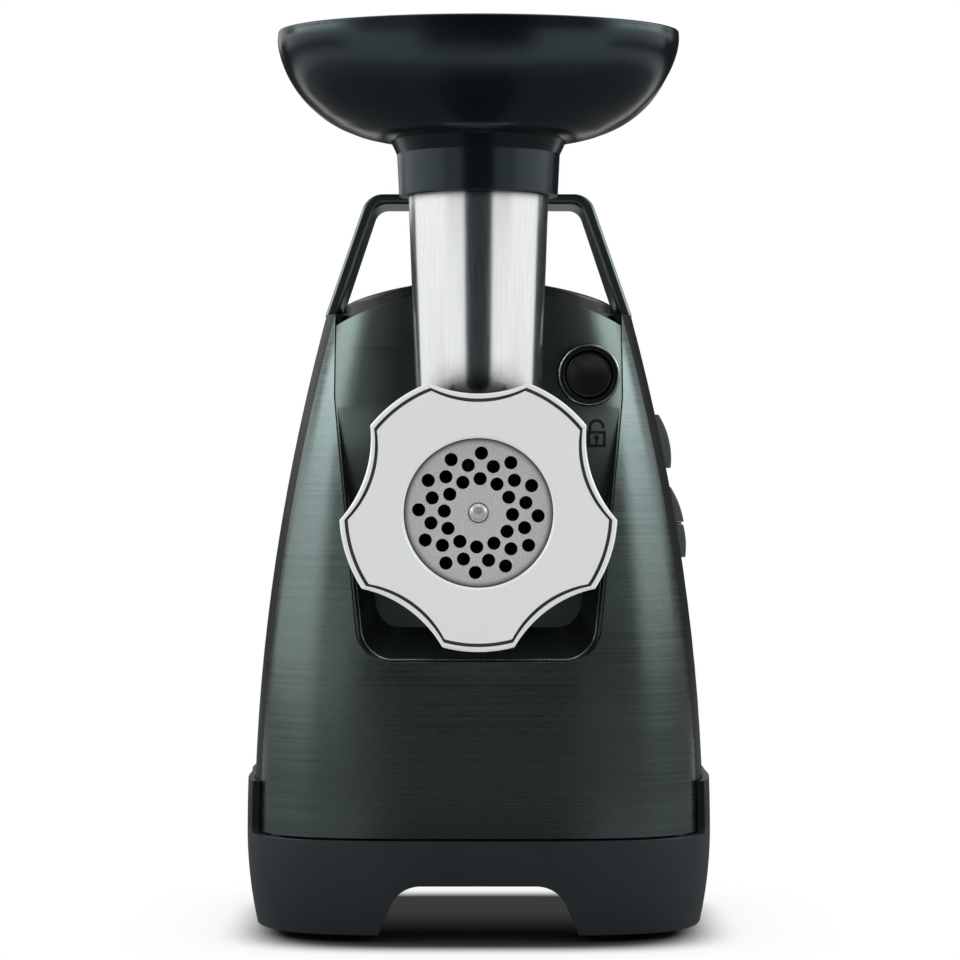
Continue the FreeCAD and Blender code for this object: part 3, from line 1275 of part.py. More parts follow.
def build():
    shell, within = body_shell()
    reverse, start, stop = BUTTON_SPANS
    return {
        "base": make_base(),
        "feet": make_feet(),
        "base_screws": make_base_screws(),
        "cord_gland": make_cord_gland(),
        "front_shell": make_front_shell(shell, within),
        "rear_shell": make_rear_shell(shell, within),
        "inset_panel": make_inset_panel(),
        "top_cover": make_top_cover(),
        "carry_handle": make_carry_handle(),
        "grinder_head": make_grinder_head(),
        "feed_tube": make_feed_tube(),
        "ring_nut": make_ring_nut(),
        "cutting_plate": make_cutting_plate(),
        "cross_knife": make_cross_knife(),
        "feed_screw": make_feed_screw(),
        "drive_coupling": make_drive_coupling(),
        "screw_bush": make_screw_bush(),
        "head_socket": make_head_socket(),
        "socket_screws": make_socket_screws(),
        "gear_case": make_gear_case(),
        "gear_case_cover": make_gear_case_cover(),
        "gear_case_screws": make_gear_case_screws(),
        "output_shaft": make_output_shaft(),
        "output_gear": make_output_gear(),
        "output_bush": make_output_bush(),
        "output_rear_bush": make_output_rear_bush(),
        "idler_pinion": make_idler_pinion(),
        "idler_gear": make_idler_gear(),
        "idler_pin": make_idler_pin(),
        "motor_pinion": make_motor_pinion(),
        "motor_shaft": make_motor_shaft(),
        "motor_front_bush": make_motor_front_bush(),
        "motor_rear_bush": make_motor_rear_bush(),
        "armature": make_armature(),
        "commutator": make_commutator(),
        "cooling_fan": make_cooling_fan(),
        "stator": make_stator(),
        "field_coils": make_field_coils(),
        "motor_end_bracket": make_motor_end_bracket(),
        "bracket_screws": make_bracket_screws(),
        "brush_holders": make_brush_holders(),
        "carbon_brushes": make_carbon_brushes(),
        "motor_cradle": make_motor_cradle(),
        "tray": make_tray(),
        "lock_button": make_lock_button(),
        "lock_bezel": make_lock_bezel(),
        "lock_spring": make_lock_spring(),
        "reverse_button": make_button(reverse, BUTTON_PROUD[0]),
        "on_button": make_button(start, BUTTON_PROUD[1]),
        "off_button": make_button(stop, BUTTON_PROUD[2]),
        "reverse_spring": make_button_spring(reverse),
        "on_spring": make_button_spring(start),
        "off_spring": make_button_spring(stop),
        "switch_board": make_switch_board(),
    }


os.makedirs("parts", exist_ok=True)
for name, shape in build().items():
    shape.exportStep(f"parts/{name}.step")
    print(name, len(shape.Solids), shape.isValid(), round(shape.Volume / 1000.0, 2))
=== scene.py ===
"""Looks of the electric meat grinder: finishes, printed and trim details, light, floor and camera.

Metres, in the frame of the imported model: +Z up, the front along -Y.
"""
import json
import math

import bpy
import bmesh
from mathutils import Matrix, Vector

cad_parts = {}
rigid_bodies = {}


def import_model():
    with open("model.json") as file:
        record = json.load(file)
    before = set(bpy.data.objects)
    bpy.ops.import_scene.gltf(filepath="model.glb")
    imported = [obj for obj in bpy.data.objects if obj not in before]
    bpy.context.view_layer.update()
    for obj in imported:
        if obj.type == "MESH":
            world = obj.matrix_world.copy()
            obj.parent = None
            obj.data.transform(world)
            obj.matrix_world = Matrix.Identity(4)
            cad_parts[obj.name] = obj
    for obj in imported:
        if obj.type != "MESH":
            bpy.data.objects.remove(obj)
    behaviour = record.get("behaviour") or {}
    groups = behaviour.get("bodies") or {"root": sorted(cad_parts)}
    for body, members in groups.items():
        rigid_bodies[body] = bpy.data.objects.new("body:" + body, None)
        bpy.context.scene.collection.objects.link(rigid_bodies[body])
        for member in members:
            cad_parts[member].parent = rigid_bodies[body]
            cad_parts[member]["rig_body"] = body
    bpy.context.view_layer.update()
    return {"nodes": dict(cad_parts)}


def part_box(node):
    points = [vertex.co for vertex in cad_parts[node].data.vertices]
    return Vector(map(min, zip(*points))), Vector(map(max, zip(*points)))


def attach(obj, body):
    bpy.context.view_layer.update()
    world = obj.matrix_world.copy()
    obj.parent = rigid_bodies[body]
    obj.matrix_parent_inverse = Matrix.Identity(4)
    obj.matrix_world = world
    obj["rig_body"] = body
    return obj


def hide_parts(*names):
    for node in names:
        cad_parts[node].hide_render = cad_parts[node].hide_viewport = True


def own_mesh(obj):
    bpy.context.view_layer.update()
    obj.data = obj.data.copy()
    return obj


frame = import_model()
nodes = frame["nodes"]
MM = 0.001
X_AXIS = Vector((1.0, 0.0, 0.0))
Y_AXIS = Vector((0.0, 1.0, 0.0))
WHITE = (1.0, 1.0, 1.0, 1.0)
BLACK = (0.0, 0.0, 0.0, 1.0)

# Camera
CAMERA_LENS = 123.75
CAMERA_SENSOR = 36.0
CAMERA_PLACE = (0.0006, -1.354, 0.183)

# Lamps and light from all round
SIDE_LIGHT = 3.0  # radiance of the two soft boxes at the sides
SIDE_BOX = (1.2, 0.6)
SIDE_REACH = 1.29  # to the left and to the right
SIDE_Y = -0.14
SIDE_Z = 0.8
SIDE_AIM = (0.0, 0.0, 0.18)
TOP_LIGHT = 0.8
TOP_BOX = (1.2, 1.2)
TOP_PLACE = (0.0, -0.05, 1.5)
TOP_AIM = (0.0, 0.0, 0.0)
AMBIENT = 0.66  # on rough surfaces

# Floor; its edges are shares of the way to the edge of the ground in shadow
FLOOR_R = 1.6
FOOTPRINT = (0.092, 0.087)  # half width and half depth of the ground in shadow
FOOTPRINT_Y = 0.017
# Painted shadow: the paper's colour, dark under the object and pale further out, over these edges
PAINTED_SHADOW_TONE = (0.05, 0.9)
PAINTED_SHADOW_EDGE = (0.8, 1.4)
WHITE_EDGE = (0.86, 1.18)
FAR_SHARE = 0.1  # of the white that only begins further out
FAR_EDGE = (1.1, 1.7)
PAINTED_TUNNEL_GLOW = 0.042  # painted light: a faint glow of the ground under the rear of the base
PAINTED_TUNNEL_Y = (-0.03, 0.06)

# Panels that only reflections see; angles run from the front over the left side and round
FLAG_R = 2.4
NEAR_R = 0.55
FLAG_GLOW = 0.03
FLAG_COLOUR = (0.8, 1.0, 1.1, 1.0)
FLAG_SHAPES = (  # name, first and last angle, foot, top
    ("flag_front", -22.0, 22.0, -0.4, 0.8),
    ("flag_high", -50.0, 50.0, 0.8, 3.0),
    ("flag_back", 128.0, 246.0, -0.4, 0.44),
    ("flag_left", 160.0, 172.0, 0.44, 3.0),
    ("flag_right", 190.0, 230.0, 0.44, 3.0),
    ("flag_over_left", 40.0, 125.0, 0.72, 0.9),
    ("flag_over_right", 235.0, 320.0, 0.72, 0.9),
    ("flag_side_left", 22.0, 51.0, 0.36, 0.62),
    ("flag_side_right", 307.0, 338.0, 0.36, 0.74),
    ("flag_skirt", 60.0, 300.0, -0.4, 0.1),
)
CARD_SHAPES = (  # name, first and last angle, foot, top, distance, glow
    ("card_left", 52.0, 122.0, 0.46, 0.62, FLAG_R, 1.7),
    ("card_right", 238.0, 306.0, 0.46, 0.6, FLAG_R, 1.3),
    ("grey_left", 14.0, 125.0, 0.03, 0.12, NEAR_R, 0.32),
    ("grey_right", 235.0, 346.0, 0.03, 0.165, NEAR_R, 0.22),
)
GROUND_CARD_R = 0.95  # of the grey disc and the dark wedge on the floor
GROUND_GLOW = 0.18
GROUND_LIFT = 0.0004  # each of the two lies this far above what is below it
WEDGE_HALF = 20.0

# Padlock sign
SIGN_LIFT = 0.08 * MM
PADLOCK_X = 47.1 * MM
PADLOCK_Z = 202.1 * MM
PADLOCK_DROP = 6.0 * MM  # from there down to its foot
PADLOCK_W = 7.4 * MM
PADLOCK_H = 6.4 * MM  # of its body
PADLOCK_LINE = 1.1 * MM
BOW_IN = 0.5 * MM  # from the side of the body
BOW_NECK = 1.6 * MM  # straight part of the bow
BOW_START = -12.0  # angle at its open end
KEYHOLE_Z = 3.8 * MM  # above the foot, like the top of its slit
KEYHOLE_R = 1.0 * MM
KEYHOLE_SLIT = 0.45 * MM  # half of its width
KEYHOLE_SLIT_TOP = 3.2 * MM

# Trim
TRIM_R = 0.45 * MM  # bright ring round the lock
WINDOW_FOOT_Z = 111.0 * MM
WINDOW_FOOT_HALF = 47.6 * MM
WINDOW_ROUND = 13.0 * MM
WINDOW_LEAN = 10.2 / 105.0  # how far its sides lean out
RIM_IN = 0.8 * MM  # from the window's edge to the middle of the panel's rim
BEAD_TOP_Z = 178.0 * MM
BEAD_R = 0.4 * MM
BEAD_TIP = 0.15  # share of the bead's radius at its two ends
RIB_GAP = 0.25 * MM  # between the buttons and the rib that parts them
RIB_PROUD = 2.6 * MM
RIB_ROOT = 0.5 * MM

# Surface detail
NOISE_LOW = 0.3  # between these two lies most of the noise
NOISE_HIGH = 0.7
PATCH_SIZE = 35.0  # of more and less gloss on mouldings
PATCH_GLOSS = (0.94, 1.08)
PATCH_TONE = 0.05
BRUSH_GLOSS = (0.9, 1.12)
CAST_GLOSS = (0.85, 1.2)
EDGE = 0.3 * MM  # softened edges of most pieces

# Stretch of brushed lines along each axis
LINES_ACROSS = (0.006, 0.006, 1.0)
LINES_UP = (1.0, 1.0, 0.01)
SHEETS = (0.02, 1.0, 0.02)
WINDINGS = (0.02, 0.02, 1.0)


def srgb(red, green, blue):
    """Linear colour from 0 to 255 values as seen on a screen."""
    colour = []
    for value in (red, green, blue):
        share = value / 255.0
        colour.append(share / 12.92 if share <= 0.04045 else ((share + 0.055) / 1.055) ** 2.4)
    return (*colour, 1.0)


def shaded(colour, share):
    return (colour[0] * share, colour[1] * share, colour[2] * share, 1.0)


# Material building blocks

def surface_of(material):
    return material.node_tree.nodes["Principled BSDF"]


def shader(name, colour, metallic, roughness, specular=0.5):
    material = bpy.data.materials.new(name)
    material.use_nodes = True
    surface = surface_of(material)
    surface.inputs["Base Color"].default_value = colour
    surface.inputs["Metallic"].default_value = metallic
    surface.inputs["Roughness"].default_value = roughness
    surface.inputs["Specular IOR Level"].default_value = specular
    return material


def ranged(tree, value, low, high, start=NOISE_LOW, end=NOISE_HIGH, kind="LINEAR"):
    """Low to high, as the value goes from start to end."""
    span = tree.nodes.new("ShaderNodeMapRange")
    span.interpolation_type = kind
    span.inputs["From Min"].default_value = start
    span.inputs["From Max"].default_value = end
    span.inputs["To Min"].default_value = low
    span.inputs["To Max"].default_value = high
    tree.links.new(value, span.inputs["Value"])
    return span.outputs["Result"]


def eased(tree, value, edge, low, high):
    """Low to high over an edge, with a soft start and end."""
    return ranged(tree, value, low, high, *edge, "SMOOTHSTEP")


def reckoned(tree, operation, first, second):
    """Two values of a node tree joined by a mathematical operation."""
    node = tree.nodes.new("ShaderNodeMath")
    node.operation = operation
    tree.links.new(first, node.inputs[0])
    tree.links.new(second, node.inputs[1])
    return node.outputs["Value"]


def own_place(tree, axis):
    """Place along an axis in the object's own space."""
    place = tree.nodes.new("ShaderNodeTexCoord")
    split = tree.nodes.new("ShaderNodeSeparateXYZ")
    tree.links.new(place.outputs["Object"], split.inputs["Vector"])
    return split.outputs[axis]


def grain(material, scale, detail=3.0, stretch=(1.0, 1.0, 1.0)):
    """Noise in the object's own space; a stretch below 1 draws it out along that axis."""
    tree = material.node_tree
    place = tree.nodes.new("ShaderNodeTexCoord")
    mapping = tree.nodes.new("ShaderNodeMapping")
    mapping.inputs["Scale"].default_value = stretch
    noise = tree.nodes.new("ShaderNodeTexNoise")
    noise.inputs["Scale"].default_value = scale
    noise.inputs["Detail"].default_value = detail
    tree.links.new(place.outputs["Object"], mapping.inputs["Vector"])
    tree.links.new(mapping.outputs["Vector"], noise.inputs["Vector"])
    return noise.outputs["Fac"]


def vary_roughness(material, factor, roughness, shares):
    tree = material.node_tree
    gloss = ranged(tree, factor, shares[0] * roughness, shares[1] * roughness)
    tree.links.new(gloss, surface_of(material).inputs["Roughness"])


def vary_colour(material, factor, colour, contrast):
    tree = material.node_tree
    ramp = tree.nodes.new("ShaderNodeValToRGB")
    dark, light = ramp.color_ramp.elements
    dark.position = NOISE_LOW
    dark.color = shaded(colour, 1.0 - contrast)
    light.position = NOISE_HIGH
    light.color = shaded(colour, 1.0 + contrast)
    tree.links.new(factor, ramp.inputs["Fac"])
    tree.links.new(ramp.outputs["Color"], surface_of(material).inputs["Base Color"])


def relief(material, factor, depth, edge):
    """Bump from the grain, and softened edges of the given radius."""
    tree = material.node_tree
    bump = tree.nodes.new("ShaderNodeBump")
    bump.inputs["Distance"].default_value = depth
    tree.links.new(factor, bump.inputs["Height"])
    if edge > 0.0:
        bevel = tree.nodes.new("ShaderNodeBevel")
        bevel.samples = 4
        bevel.inputs["Radius"].default_value = edge
        tree.links.new(bevel.outputs["Normal"], bump.inputs["Normal"])
    tree.links.new(bump.outputs["Normal"], surface_of(material).inputs["Normal"])


def scale_colour(material, factor):
    """Multiplies the finish's colour by a value of its node tree."""
    tree = material.node_tree
    scale = tree.nodes.new("ShaderNodeVectorMath")
    scale.operation = "SCALE"
    colour = surface_of(material).inputs["Base Color"]
    tree.links.new(colour.links[0].from_socket, scale.inputs[0])
    tree.links.new(factor, scale.inputs["Scale"])
    tree.links.new(scale.outputs["Vector"], colour)


def paint_crevice_shade(material, distance, share, start=0.4, end=0.9):
    """Painted shade: darker colour where faces stand closer together than the distance."""
    tree = material.node_tree
    hollow = tree.nodes.new("ShaderNodeAmbientOcclusion")
    hollow.samples = 8
    hollow.inputs["Distance"].default_value = distance
    scale_colour(material, ranged(tree, hollow.outputs["AO"], share, 1.0, start, end))


def paint_shade_above(material, low, high, share):
    """Painted shade: darker colour above a height."""
    tree = material.node_tree
    scale_colour(material, ranged(tree, own_place(tree, "Z"), 1.0, share, low, high))


def moulded(name, colour, roughness, texture, depth, edge=EDGE, specular=0.5, metallic=0.0):
    """Moulded plastic: a fine skin, patches of more and less gloss, softened edges."""
    material = shader(name, colour, metallic, roughness, specular)
    patches = grain(material, PATCH_SIZE, detail=2.0)
    vary_roughness(material, patches, roughness, PATCH_GLOSS)
    vary_colour(material, patches, colour, PATCH_TONE)
    relief(material, grain(material, texture), depth, edge)
    return material


def brushed(
    name, colour, roughness, lines, stretch, contrast, turn=0.0, anisotropy=0.6, depth=0.002 * MM, edge=EDGE,
):
    """Brushed metal: fine lines drawn out along one direction."""
    material = shader(name, colour, 1.0, roughness)
    factor = grain(material, lines, detail=4.0, stretch=stretch)
    vary_roughness(material, factor, roughness, BRUSH_GLOSS)
    vary_colour(material, factor, colour, contrast)
    relief(material, factor, depth, edge)
    surface = surface_of(material)
    surface.inputs["Anisotropic"].default_value = anisotropy
    surface.inputs["Anisotropic Rotation"].default_value = turn
    tangent = material.node_tree.nodes.new("ShaderNodeTangent")
    tangent.direction_type = "RADIAL"
    tangent.axis = "Z"
    material.node_tree.links.new(tangent.outputs["Tangent"], surface.inputs["Tangent"])
    return material


def cast(name, colour, roughness, texture, depth, edge=EDGE, metallic=1.0, contrast=0.1):
    """Cast or blasted metal: a fine even grain."""
    material = shader(name, colour, metallic, roughness)
    factor = grain(material, texture, detail=5.0)
    vary_roughness(material, factor, roughness, CAST_GLOSS)
    vary_colour(material, factor, colour, contrast)
    relief(material, factor, depth, edge)
    return material


# Finishes of the outside; after the colour come the roughness, the grain's fineness and its depth or stretch

tray_plastic = moulded("tray_plastic", srgb(10, 13, 16), 0.23, 900.0, 0.003 * MM)
surface_of(tray_plastic).inputs["Specular Tint"].default_value = (0.75, 1.0, 1.05, 1.0)
front_panel = brushed(
    "front_panel", srgb(105, 118, 116), 0.27, 1300.0, LINES_ACROSS, contrast=0.08, turn=0.25, anisotropy=0.1,
)
gunmetal = moulded("gunmetal", srgb(96, 106, 104), 0.3, 2500.0, 0.002 * MM, metallic=0.9)
inset_plastic = moulded("inset_plastic", srgb(92, 104, 100), 0.31, 2500.0, 0.002 * MM, metallic=0.9)
# Painted shade: the panel's colour darkens in its pocket, where other faces stand within 40 mm.
paint_crevice_shade(inset_plastic, 40.0 * MM, share=0.55, start=0.45, end=0.95)
shell_plastic = moulded("shell_plastic", srgb(18, 21, 23), 0.45, 1800.0, 0.006 * MM, specular=0.25)
cover_plastic = moulded("cover_plastic", srgb(22, 26, 27), 0.26, 1800.0, 0.004 * MM, edge=0.8 * MM)
base_plastic = moulded("base_plastic", srgb(35, 44, 47), 0.45, 1800.0, 0.012 * MM, specular=0.4)
# Painted shade: the base's colour is darker above 41 to 43 mm, on its upper part and side ears.
paint_shade_above(base_plastic, low=41.0 * MM, high=43.0 * MM, share=0.25)
button_plastic = moulded("button_plastic", srgb(18, 22, 25), 0.24, 1500.0, 0.004 * MM)
side_button = moulded("side_button", srgb(84, 93, 91), 0.36, 1500.0, 0.004 * MM, edge=1.2 * MM)
bezel_plastic = moulded("bezel_plastic", srgb(16, 19, 20), 0.22, 1500.0, 0.003 * MM, edge=0.5 * MM)
bright_trim = cast("bright_trim", srgb(196, 203, 200), 0.2, 1800.0, 0.001 * MM, edge=0.0, contrast=0.03)
dull_trim = cast("dull_trim", srgb(136, 149, 145), 0.26, 1800.0, 0.001 * MM, edge=0.0, contrast=0.05)
sign_ink = moulded("sign_ink", srgb(10, 16, 15), 0.5, 2500.0, 0.003 * MM, edge=0.0, specular=0.2)
rubber_black = moulded("rubber_black", srgb(22, 22, 23), 0.7, 1300.0, 0.02 * MM)

# Finishes of the tube, the head and the tools in it

head_aluminium = cast(
    "head_aluminium", srgb(246, 249, 248), 0.5, 3000.0, 0.002 * MM, metallic=0.2, contrast=0.02,
)
# Painted shade: the ring nut's colour darkens in its groove and other narrow hollows.
paint_crevice_shade(head_aluminium, 2.5 * MM, share=0.1, start=0.5, end=0.97)
tube_steel = brushed(
    "tube_steel", srgb(232, 235, 234), 0.15, 1400.0, LINES_UP,
    contrast=0.05, depth=0.0004 * MM, edge=0.2 * MM,
)
# Painted shade: the tube's colour darkens where other faces stand close, as near its foot and the collar.
paint_crevice_shade(tube_steel, 22.0 * MM, share=0.05, start=0.6, end=0.8)
polished_head = brushed("polished_head", srgb(220, 224, 223), 0.15, 1400.0, LINES_UP, contrast=0.02)
# Painted shade: the head's colour darkens where the tube and the ring nut stand close, as at the saddle under
# the tube.
paint_crevice_shade(polished_head, 20.0 * MM, share=0.05, start=0.6, end=0.85)
tool_steel = cast(
    "tool_steel", srgb(212, 212, 215), 0.45, 1500.0, 0.02 * MM, edge=0.2 * MM, metallic=0.35, contrast=0.16,
)
# Painted shade: the plate's colour darkens at its edge by the ring nut and in other narrow hollows.
paint_crevice_shade(tool_steel, 2.5 * MM, share=0.1, start=0.55, end=0.95)
pin_steel = cast(
    "pin_steel", srgb(226, 227, 229), 0.26, 1500.0, 0.001 * MM, edge=1.2 * MM, metallic=0.7, contrast=0.03,
)
# Painted shade: the screw's colour darkens inside the barrel, behind the plate.
paint_crevice_shade(pin_steel, 25.0 * MM, share=0.02, start=0.5, end=0.9)
# Painted shade: the knife is coloured near black, and darker still in its hollows, so it shows as shade
# through the plate's holes.
knife_steel_in_painted_shade = cast("knife_steel_in_painted_shade", srgb(34, 35, 37), 0.5, 1200.0, 0.01 * MM, edge=0.2 * MM)
paint_crevice_shade(knife_steel_in_painted_shade, 6.0 * MM, share=0.1)

# Finishes of the drive and the switches

socket_plastic = moulded("socket_plastic", srgb(22, 26, 28), 0.4, 1500.0, 0.008 * MM)
gear_steel = cast("gear_steel", srgb(150, 152, 155), 0.35, 900.0, 0.01 * MM)
case_aluminium = cast("case_aluminium", srgb(178, 180, 182), 0.5, 700.0, 0.02 * MM)
bush_bronze = cast("bush_bronze", srgb(184, 138, 82), 0.4, 1100.0, 0.01 * MM)
lamination = brushed("lamination", srgb(96, 98, 102), 0.42, 1500.0, SHEETS, contrast=0.2)
copper = brushed("copper", srgb(186, 102, 60), 0.35, 1300.0, WINDINGS, contrast=0.15)
carbon = cast("carbon", srgb(34, 34, 36), 0.6, 1600.0, 0.01 * MM, metallic=0.0)
screw_steel = cast("screw_steel", srgb(160, 162, 164), 0.32, 900.0, 0.008 * MM, edge=0.2 * MM)
board_green = moulded("board_green", srgb(36, 84, 52), 0.45, 700.0, 0.01 * MM)

FINISHES = (
    (tray_plastic, ("tray",)),
    (front_panel, ("front_shell",)),
    (gunmetal, ("carry_handle",)),
    (cover_plastic, ("top_cover",)),
    (inset_plastic, ("inset_panel",)),
    (shell_plastic, ("rear_shell",)),
    (base_plastic, ("base",)),
    (head_aluminium, ("ring_nut",)),
    (tube_steel, ("feed_tube",)),
    (polished_head, ("grinder_head",)),
    (tool_steel, ("cutting_plate",)),
    (pin_steel, ("feed_screw",)),
    (knife_steel_in_painted_shade, ("cross_knife",)),
    (button_plastic, ("lock_button",)),
    (side_button, ("reverse_button", "on_button", "off_button")),
    (bezel_plastic, ("lock_bezel",)),
    (socket_plastic, ("head_socket", "drive_coupling", "idler_gear", "brush_holders", "cooling_fan")),
    (gear_steel, ("output_shaft", "output_gear", "idler_pinion", "idler_pin", "motor_pinion", "motor_shaft")),
    (case_aluminium, ("gear_case", "gear_case_cover", "motor_end_bracket")),
    (bush_bronze, ("screw_bush", "output_bush", "output_rear_bush", "motor_front_bush", "motor_rear_bush")),
    (lamination, ("armature", "stator")),
    (copper, ("field_coils", "commutator")),
    (carbon, ("carbon_brushes",)),
    (rubber_black, ("feet", "cord_gland", "motor_cradle")),
    (screw_steel, ("base_screws", "socket_screws", "gear_case_screws", "bracket_screws")),
    (board_green, ("switch_board",)),
)
for material, names in FINISHES:
    for name in names:
        nodes[name].data.materials.clear()
        nodes[name].data.materials.append(material)


# Printed and trim details

def surface_y(node, x, z):
    """Depth of a node's front surface at a place seen from the front."""
    hit, point = nodes[node].ray_cast(Vector((x, -1.0, z)), Y_AXIS)[:2]
    return point.y if hit else None


def side_x(node, y, z):
    """Place of a node's right-hand surface."""
    hit, point = nodes[node].ray_cast(Vector((1.0, y, z)), -X_AXIS)[:2]
    return point.x if hit else None


def new_mesh(name, vertices, faces):
    mesh = bpy.data.meshes.new(name)
    mesh.from_pydata(vertices, [], faces)
    return mesh


def dressed(name, mesh, material, node):
    """A new piece of the object that moves with a node's body."""
    mesh.materials.append(material)
    piece = bpy.data.objects.new(name, mesh)
    bpy.context.scene.collection.objects.link(piece)
    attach(piece, nodes[node]["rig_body"])
    return piece


def band(first, second, around):
    """Quads between two rings of vertices, from the number of each ring's first vertex."""
    quads = []
    for j in range(around):
        beside = (j + 1) % around
        quads.append([first + j, first + beside, second + beside, second + j])
    return quads


def ring_quads(x, z, outer, inner, start, end, count):
    """Quads of a flat ring sector, as corner lists (x, z)."""
    rays = []
    for i in range(count + 1):
        angle = math.radians(start + (end - start) * i / count)
        rays.append((math.cos(angle), math.sin(angle)))
    quads = []
    for a, b in zip(rays, rays[1:]):
        reaches = ((outer, a), (outer, b), (inner, b), (inner, a))
        quads.append([(x + reach * ray[0], z + reach * ray[1]) for reach, ray in reaches])
    return quads


def bar_quads(x0, x1, z0, z1, count):
    """A straight bar as a row of quads."""
    quads = []
    for i in range(count):
        low = z0 + (z1 - z0) * i / count
        high = z0 + (z1 - z0) * (i + 1) / count
        quads.append([(x0, low), (x1, low), (x1, high), (x0, high)])
    return quads


def make_print(name, quads, node, material):
    """A thin print that lies on a node's front surface."""
    print_mesh = bmesh.new()
    for quad in quads:
        corners = []
        for x, z in quad:
            corners.append(print_mesh.verts.new((x, surface_y(node, x, z) - SIGN_LIFT, z)))
        print_mesh.faces.new(corners)
    bmesh.ops.remove_doubles(print_mesh, verts=print_mesh.verts, dist=1e-6)
    bmesh.ops.recalc_face_normals(print_mesh, faces=print_mesh.faces)
    mesh = bpy.data.meshes.new(name)
    print_mesh.to_mesh(mesh)
    print_mesh.free()
    dressed(name, mesh, material, node)


def make_padlock():
    """Open padlock: a bow, a body drawn as a frame, and a keyhole."""
    line = PADLOCK_LINE
    left = PADLOCK_X - PADLOCK_W / 2
    right = PADLOCK_X + PADLOCK_W / 2
    foot = PADLOCK_Z - PADLOCK_DROP
    top = foot + PADLOCK_H
    bow = PADLOCK_W / 2 - BOW_IN
    quads = ring_quads(PADLOCK_X, top + BOW_NECK, bow, bow - line, BOW_START, 180.0, 16)
    quads += bar_quads(PADLOCK_X - bow, PADLOCK_X - bow + line, top, top + BOW_NECK, 2)
    quads += bar_quads(left, left + line, foot, top, 5)
    quads += bar_quads(right - line, right, foot, top, 5)
    quads += bar_quads(left + line, right - line, foot, foot + line, 1)
    quads += bar_quads(left + line, right - line, top - line, top, 1)
    quads += ring_quads(PADLOCK_X, foot + KEYHOLE_Z, KEYHOLE_R, 0.0, 0.0, 360.0, 12)
    quads += bar_quads(
        PADLOCK_X - KEYHOLE_SLIT, PADLOCK_X + KEYHOLE_SLIT, foot + line, foot + KEYHOLE_SLIT_TOP, 2,
    )
    make_print("padlock_sign", quads, "inset_panel", sign_ink)


def make_lock_trim():
    """Thin bright ring, let into the rounded front edge of the lock's bezel."""
    low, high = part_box("lock_bezel")
    x = (low[0] + high[0]) / 2
    y = low[1] + TRIM_R
    z = (low[2] + high[2]) / 2
    radius = (high[0] - low[0]) / 2 - TRIM_R
    count = 72
    around = 10
    vertices = []
    faces = []
    for i in range(count):
        angle = 2 * math.pi * i / count
        for j in range(around):
            turn = 2 * math.pi * j / around
            reach = radius + TRIM_R * math.cos(turn)
            depth = y + TRIM_R * math.sin(turn)
            vertices.append((x + reach * math.cos(angle), depth, z + reach * math.sin(angle)))
        faces += band(i * around, (i + 1) % count * around, around)
    mesh = new_mesh("lock_trim", vertices, faces)
    mesh.shade_smooth()
    dressed("lock_trim", mesh, bright_trim, "lock_bezel")


def make_bead(name, path, radii, material, node):
    """A thin round bead along a line on a node."""
    around = 8
    last = len(path) - 1
    vertices = []
    faces = []
    for i, point in enumerate(path):
        ahead = Vector(path[min(i + 1, last)]) - Vector(path[max(i - 1, 0)])
        side = ahead.cross(Y_AXIS).normalized()
        up = side.cross(ahead).normalized()
        for j in range(around):
            turn = 2 * math.pi * j / around
            vertices.append(Vector(point) + radii[i] * (math.cos(turn) * side + math.sin(turn) * up))
        if i:
            faces += band((i - 1) * around, i * around, around)
    faces.append(list(range(around)))
    faces.append([last * around + j for j in range(around)])
    mesh = new_mesh(name, vertices, faces)
    mesh.shade_smooth()
    dressed(name, mesh, material, node)


def make_window_trim():
    """Fine bead on the panel's rim, round the foot of the window, thinner towards its ends."""
    count = 15
    corner_x = WINDOW_FOOT_HALF - RIM_IN - WINDOW_ROUND
    corner_z = WINDOW_FOOT_Z + RIM_IN + WINDOW_ROUND
    lean = math.atan2(WINDOW_LEAN, 1.0)
    start_x = corner_x + WINDOW_ROUND * math.cos(lean)
    start_z = corner_z - WINDOW_ROUND * math.sin(lean)
    right = []
    for i in range(count):
        z = BEAD_TOP_Z + (start_z - BEAD_TOP_Z) * i / count
        right.append((start_x + WINDOW_LEAN * (z - start_z), z))
    for i in range(count):
        angle = -lean - (math.pi / 2 - lean) * i / count
        right.append((corner_x + WINDOW_ROUND * math.cos(angle), corner_z + WINDOW_ROUND * math.sin(angle)))
    right.append((corner_x, corner_z - WINDOW_ROUND))
    right.append((corner_x / 2, corner_z - WINDOW_ROUND))
    outline = right + [(0.0, corner_z - WINDOW_ROUND)] + [(-x, z) for x, z in reversed(right)]
    path = [(x, surface_y("inset_panel", x, z), z) for x, z in outline]
    radii = []
    for i in range(len(path)):
        from_end = min(i, len(path) - 1 - i)
        radii.append(min(1.0, BEAD_TIP + from_end / count) * BEAD_R)
    make_bead("window_trim", path, radii, dull_trim, "inset_panel")


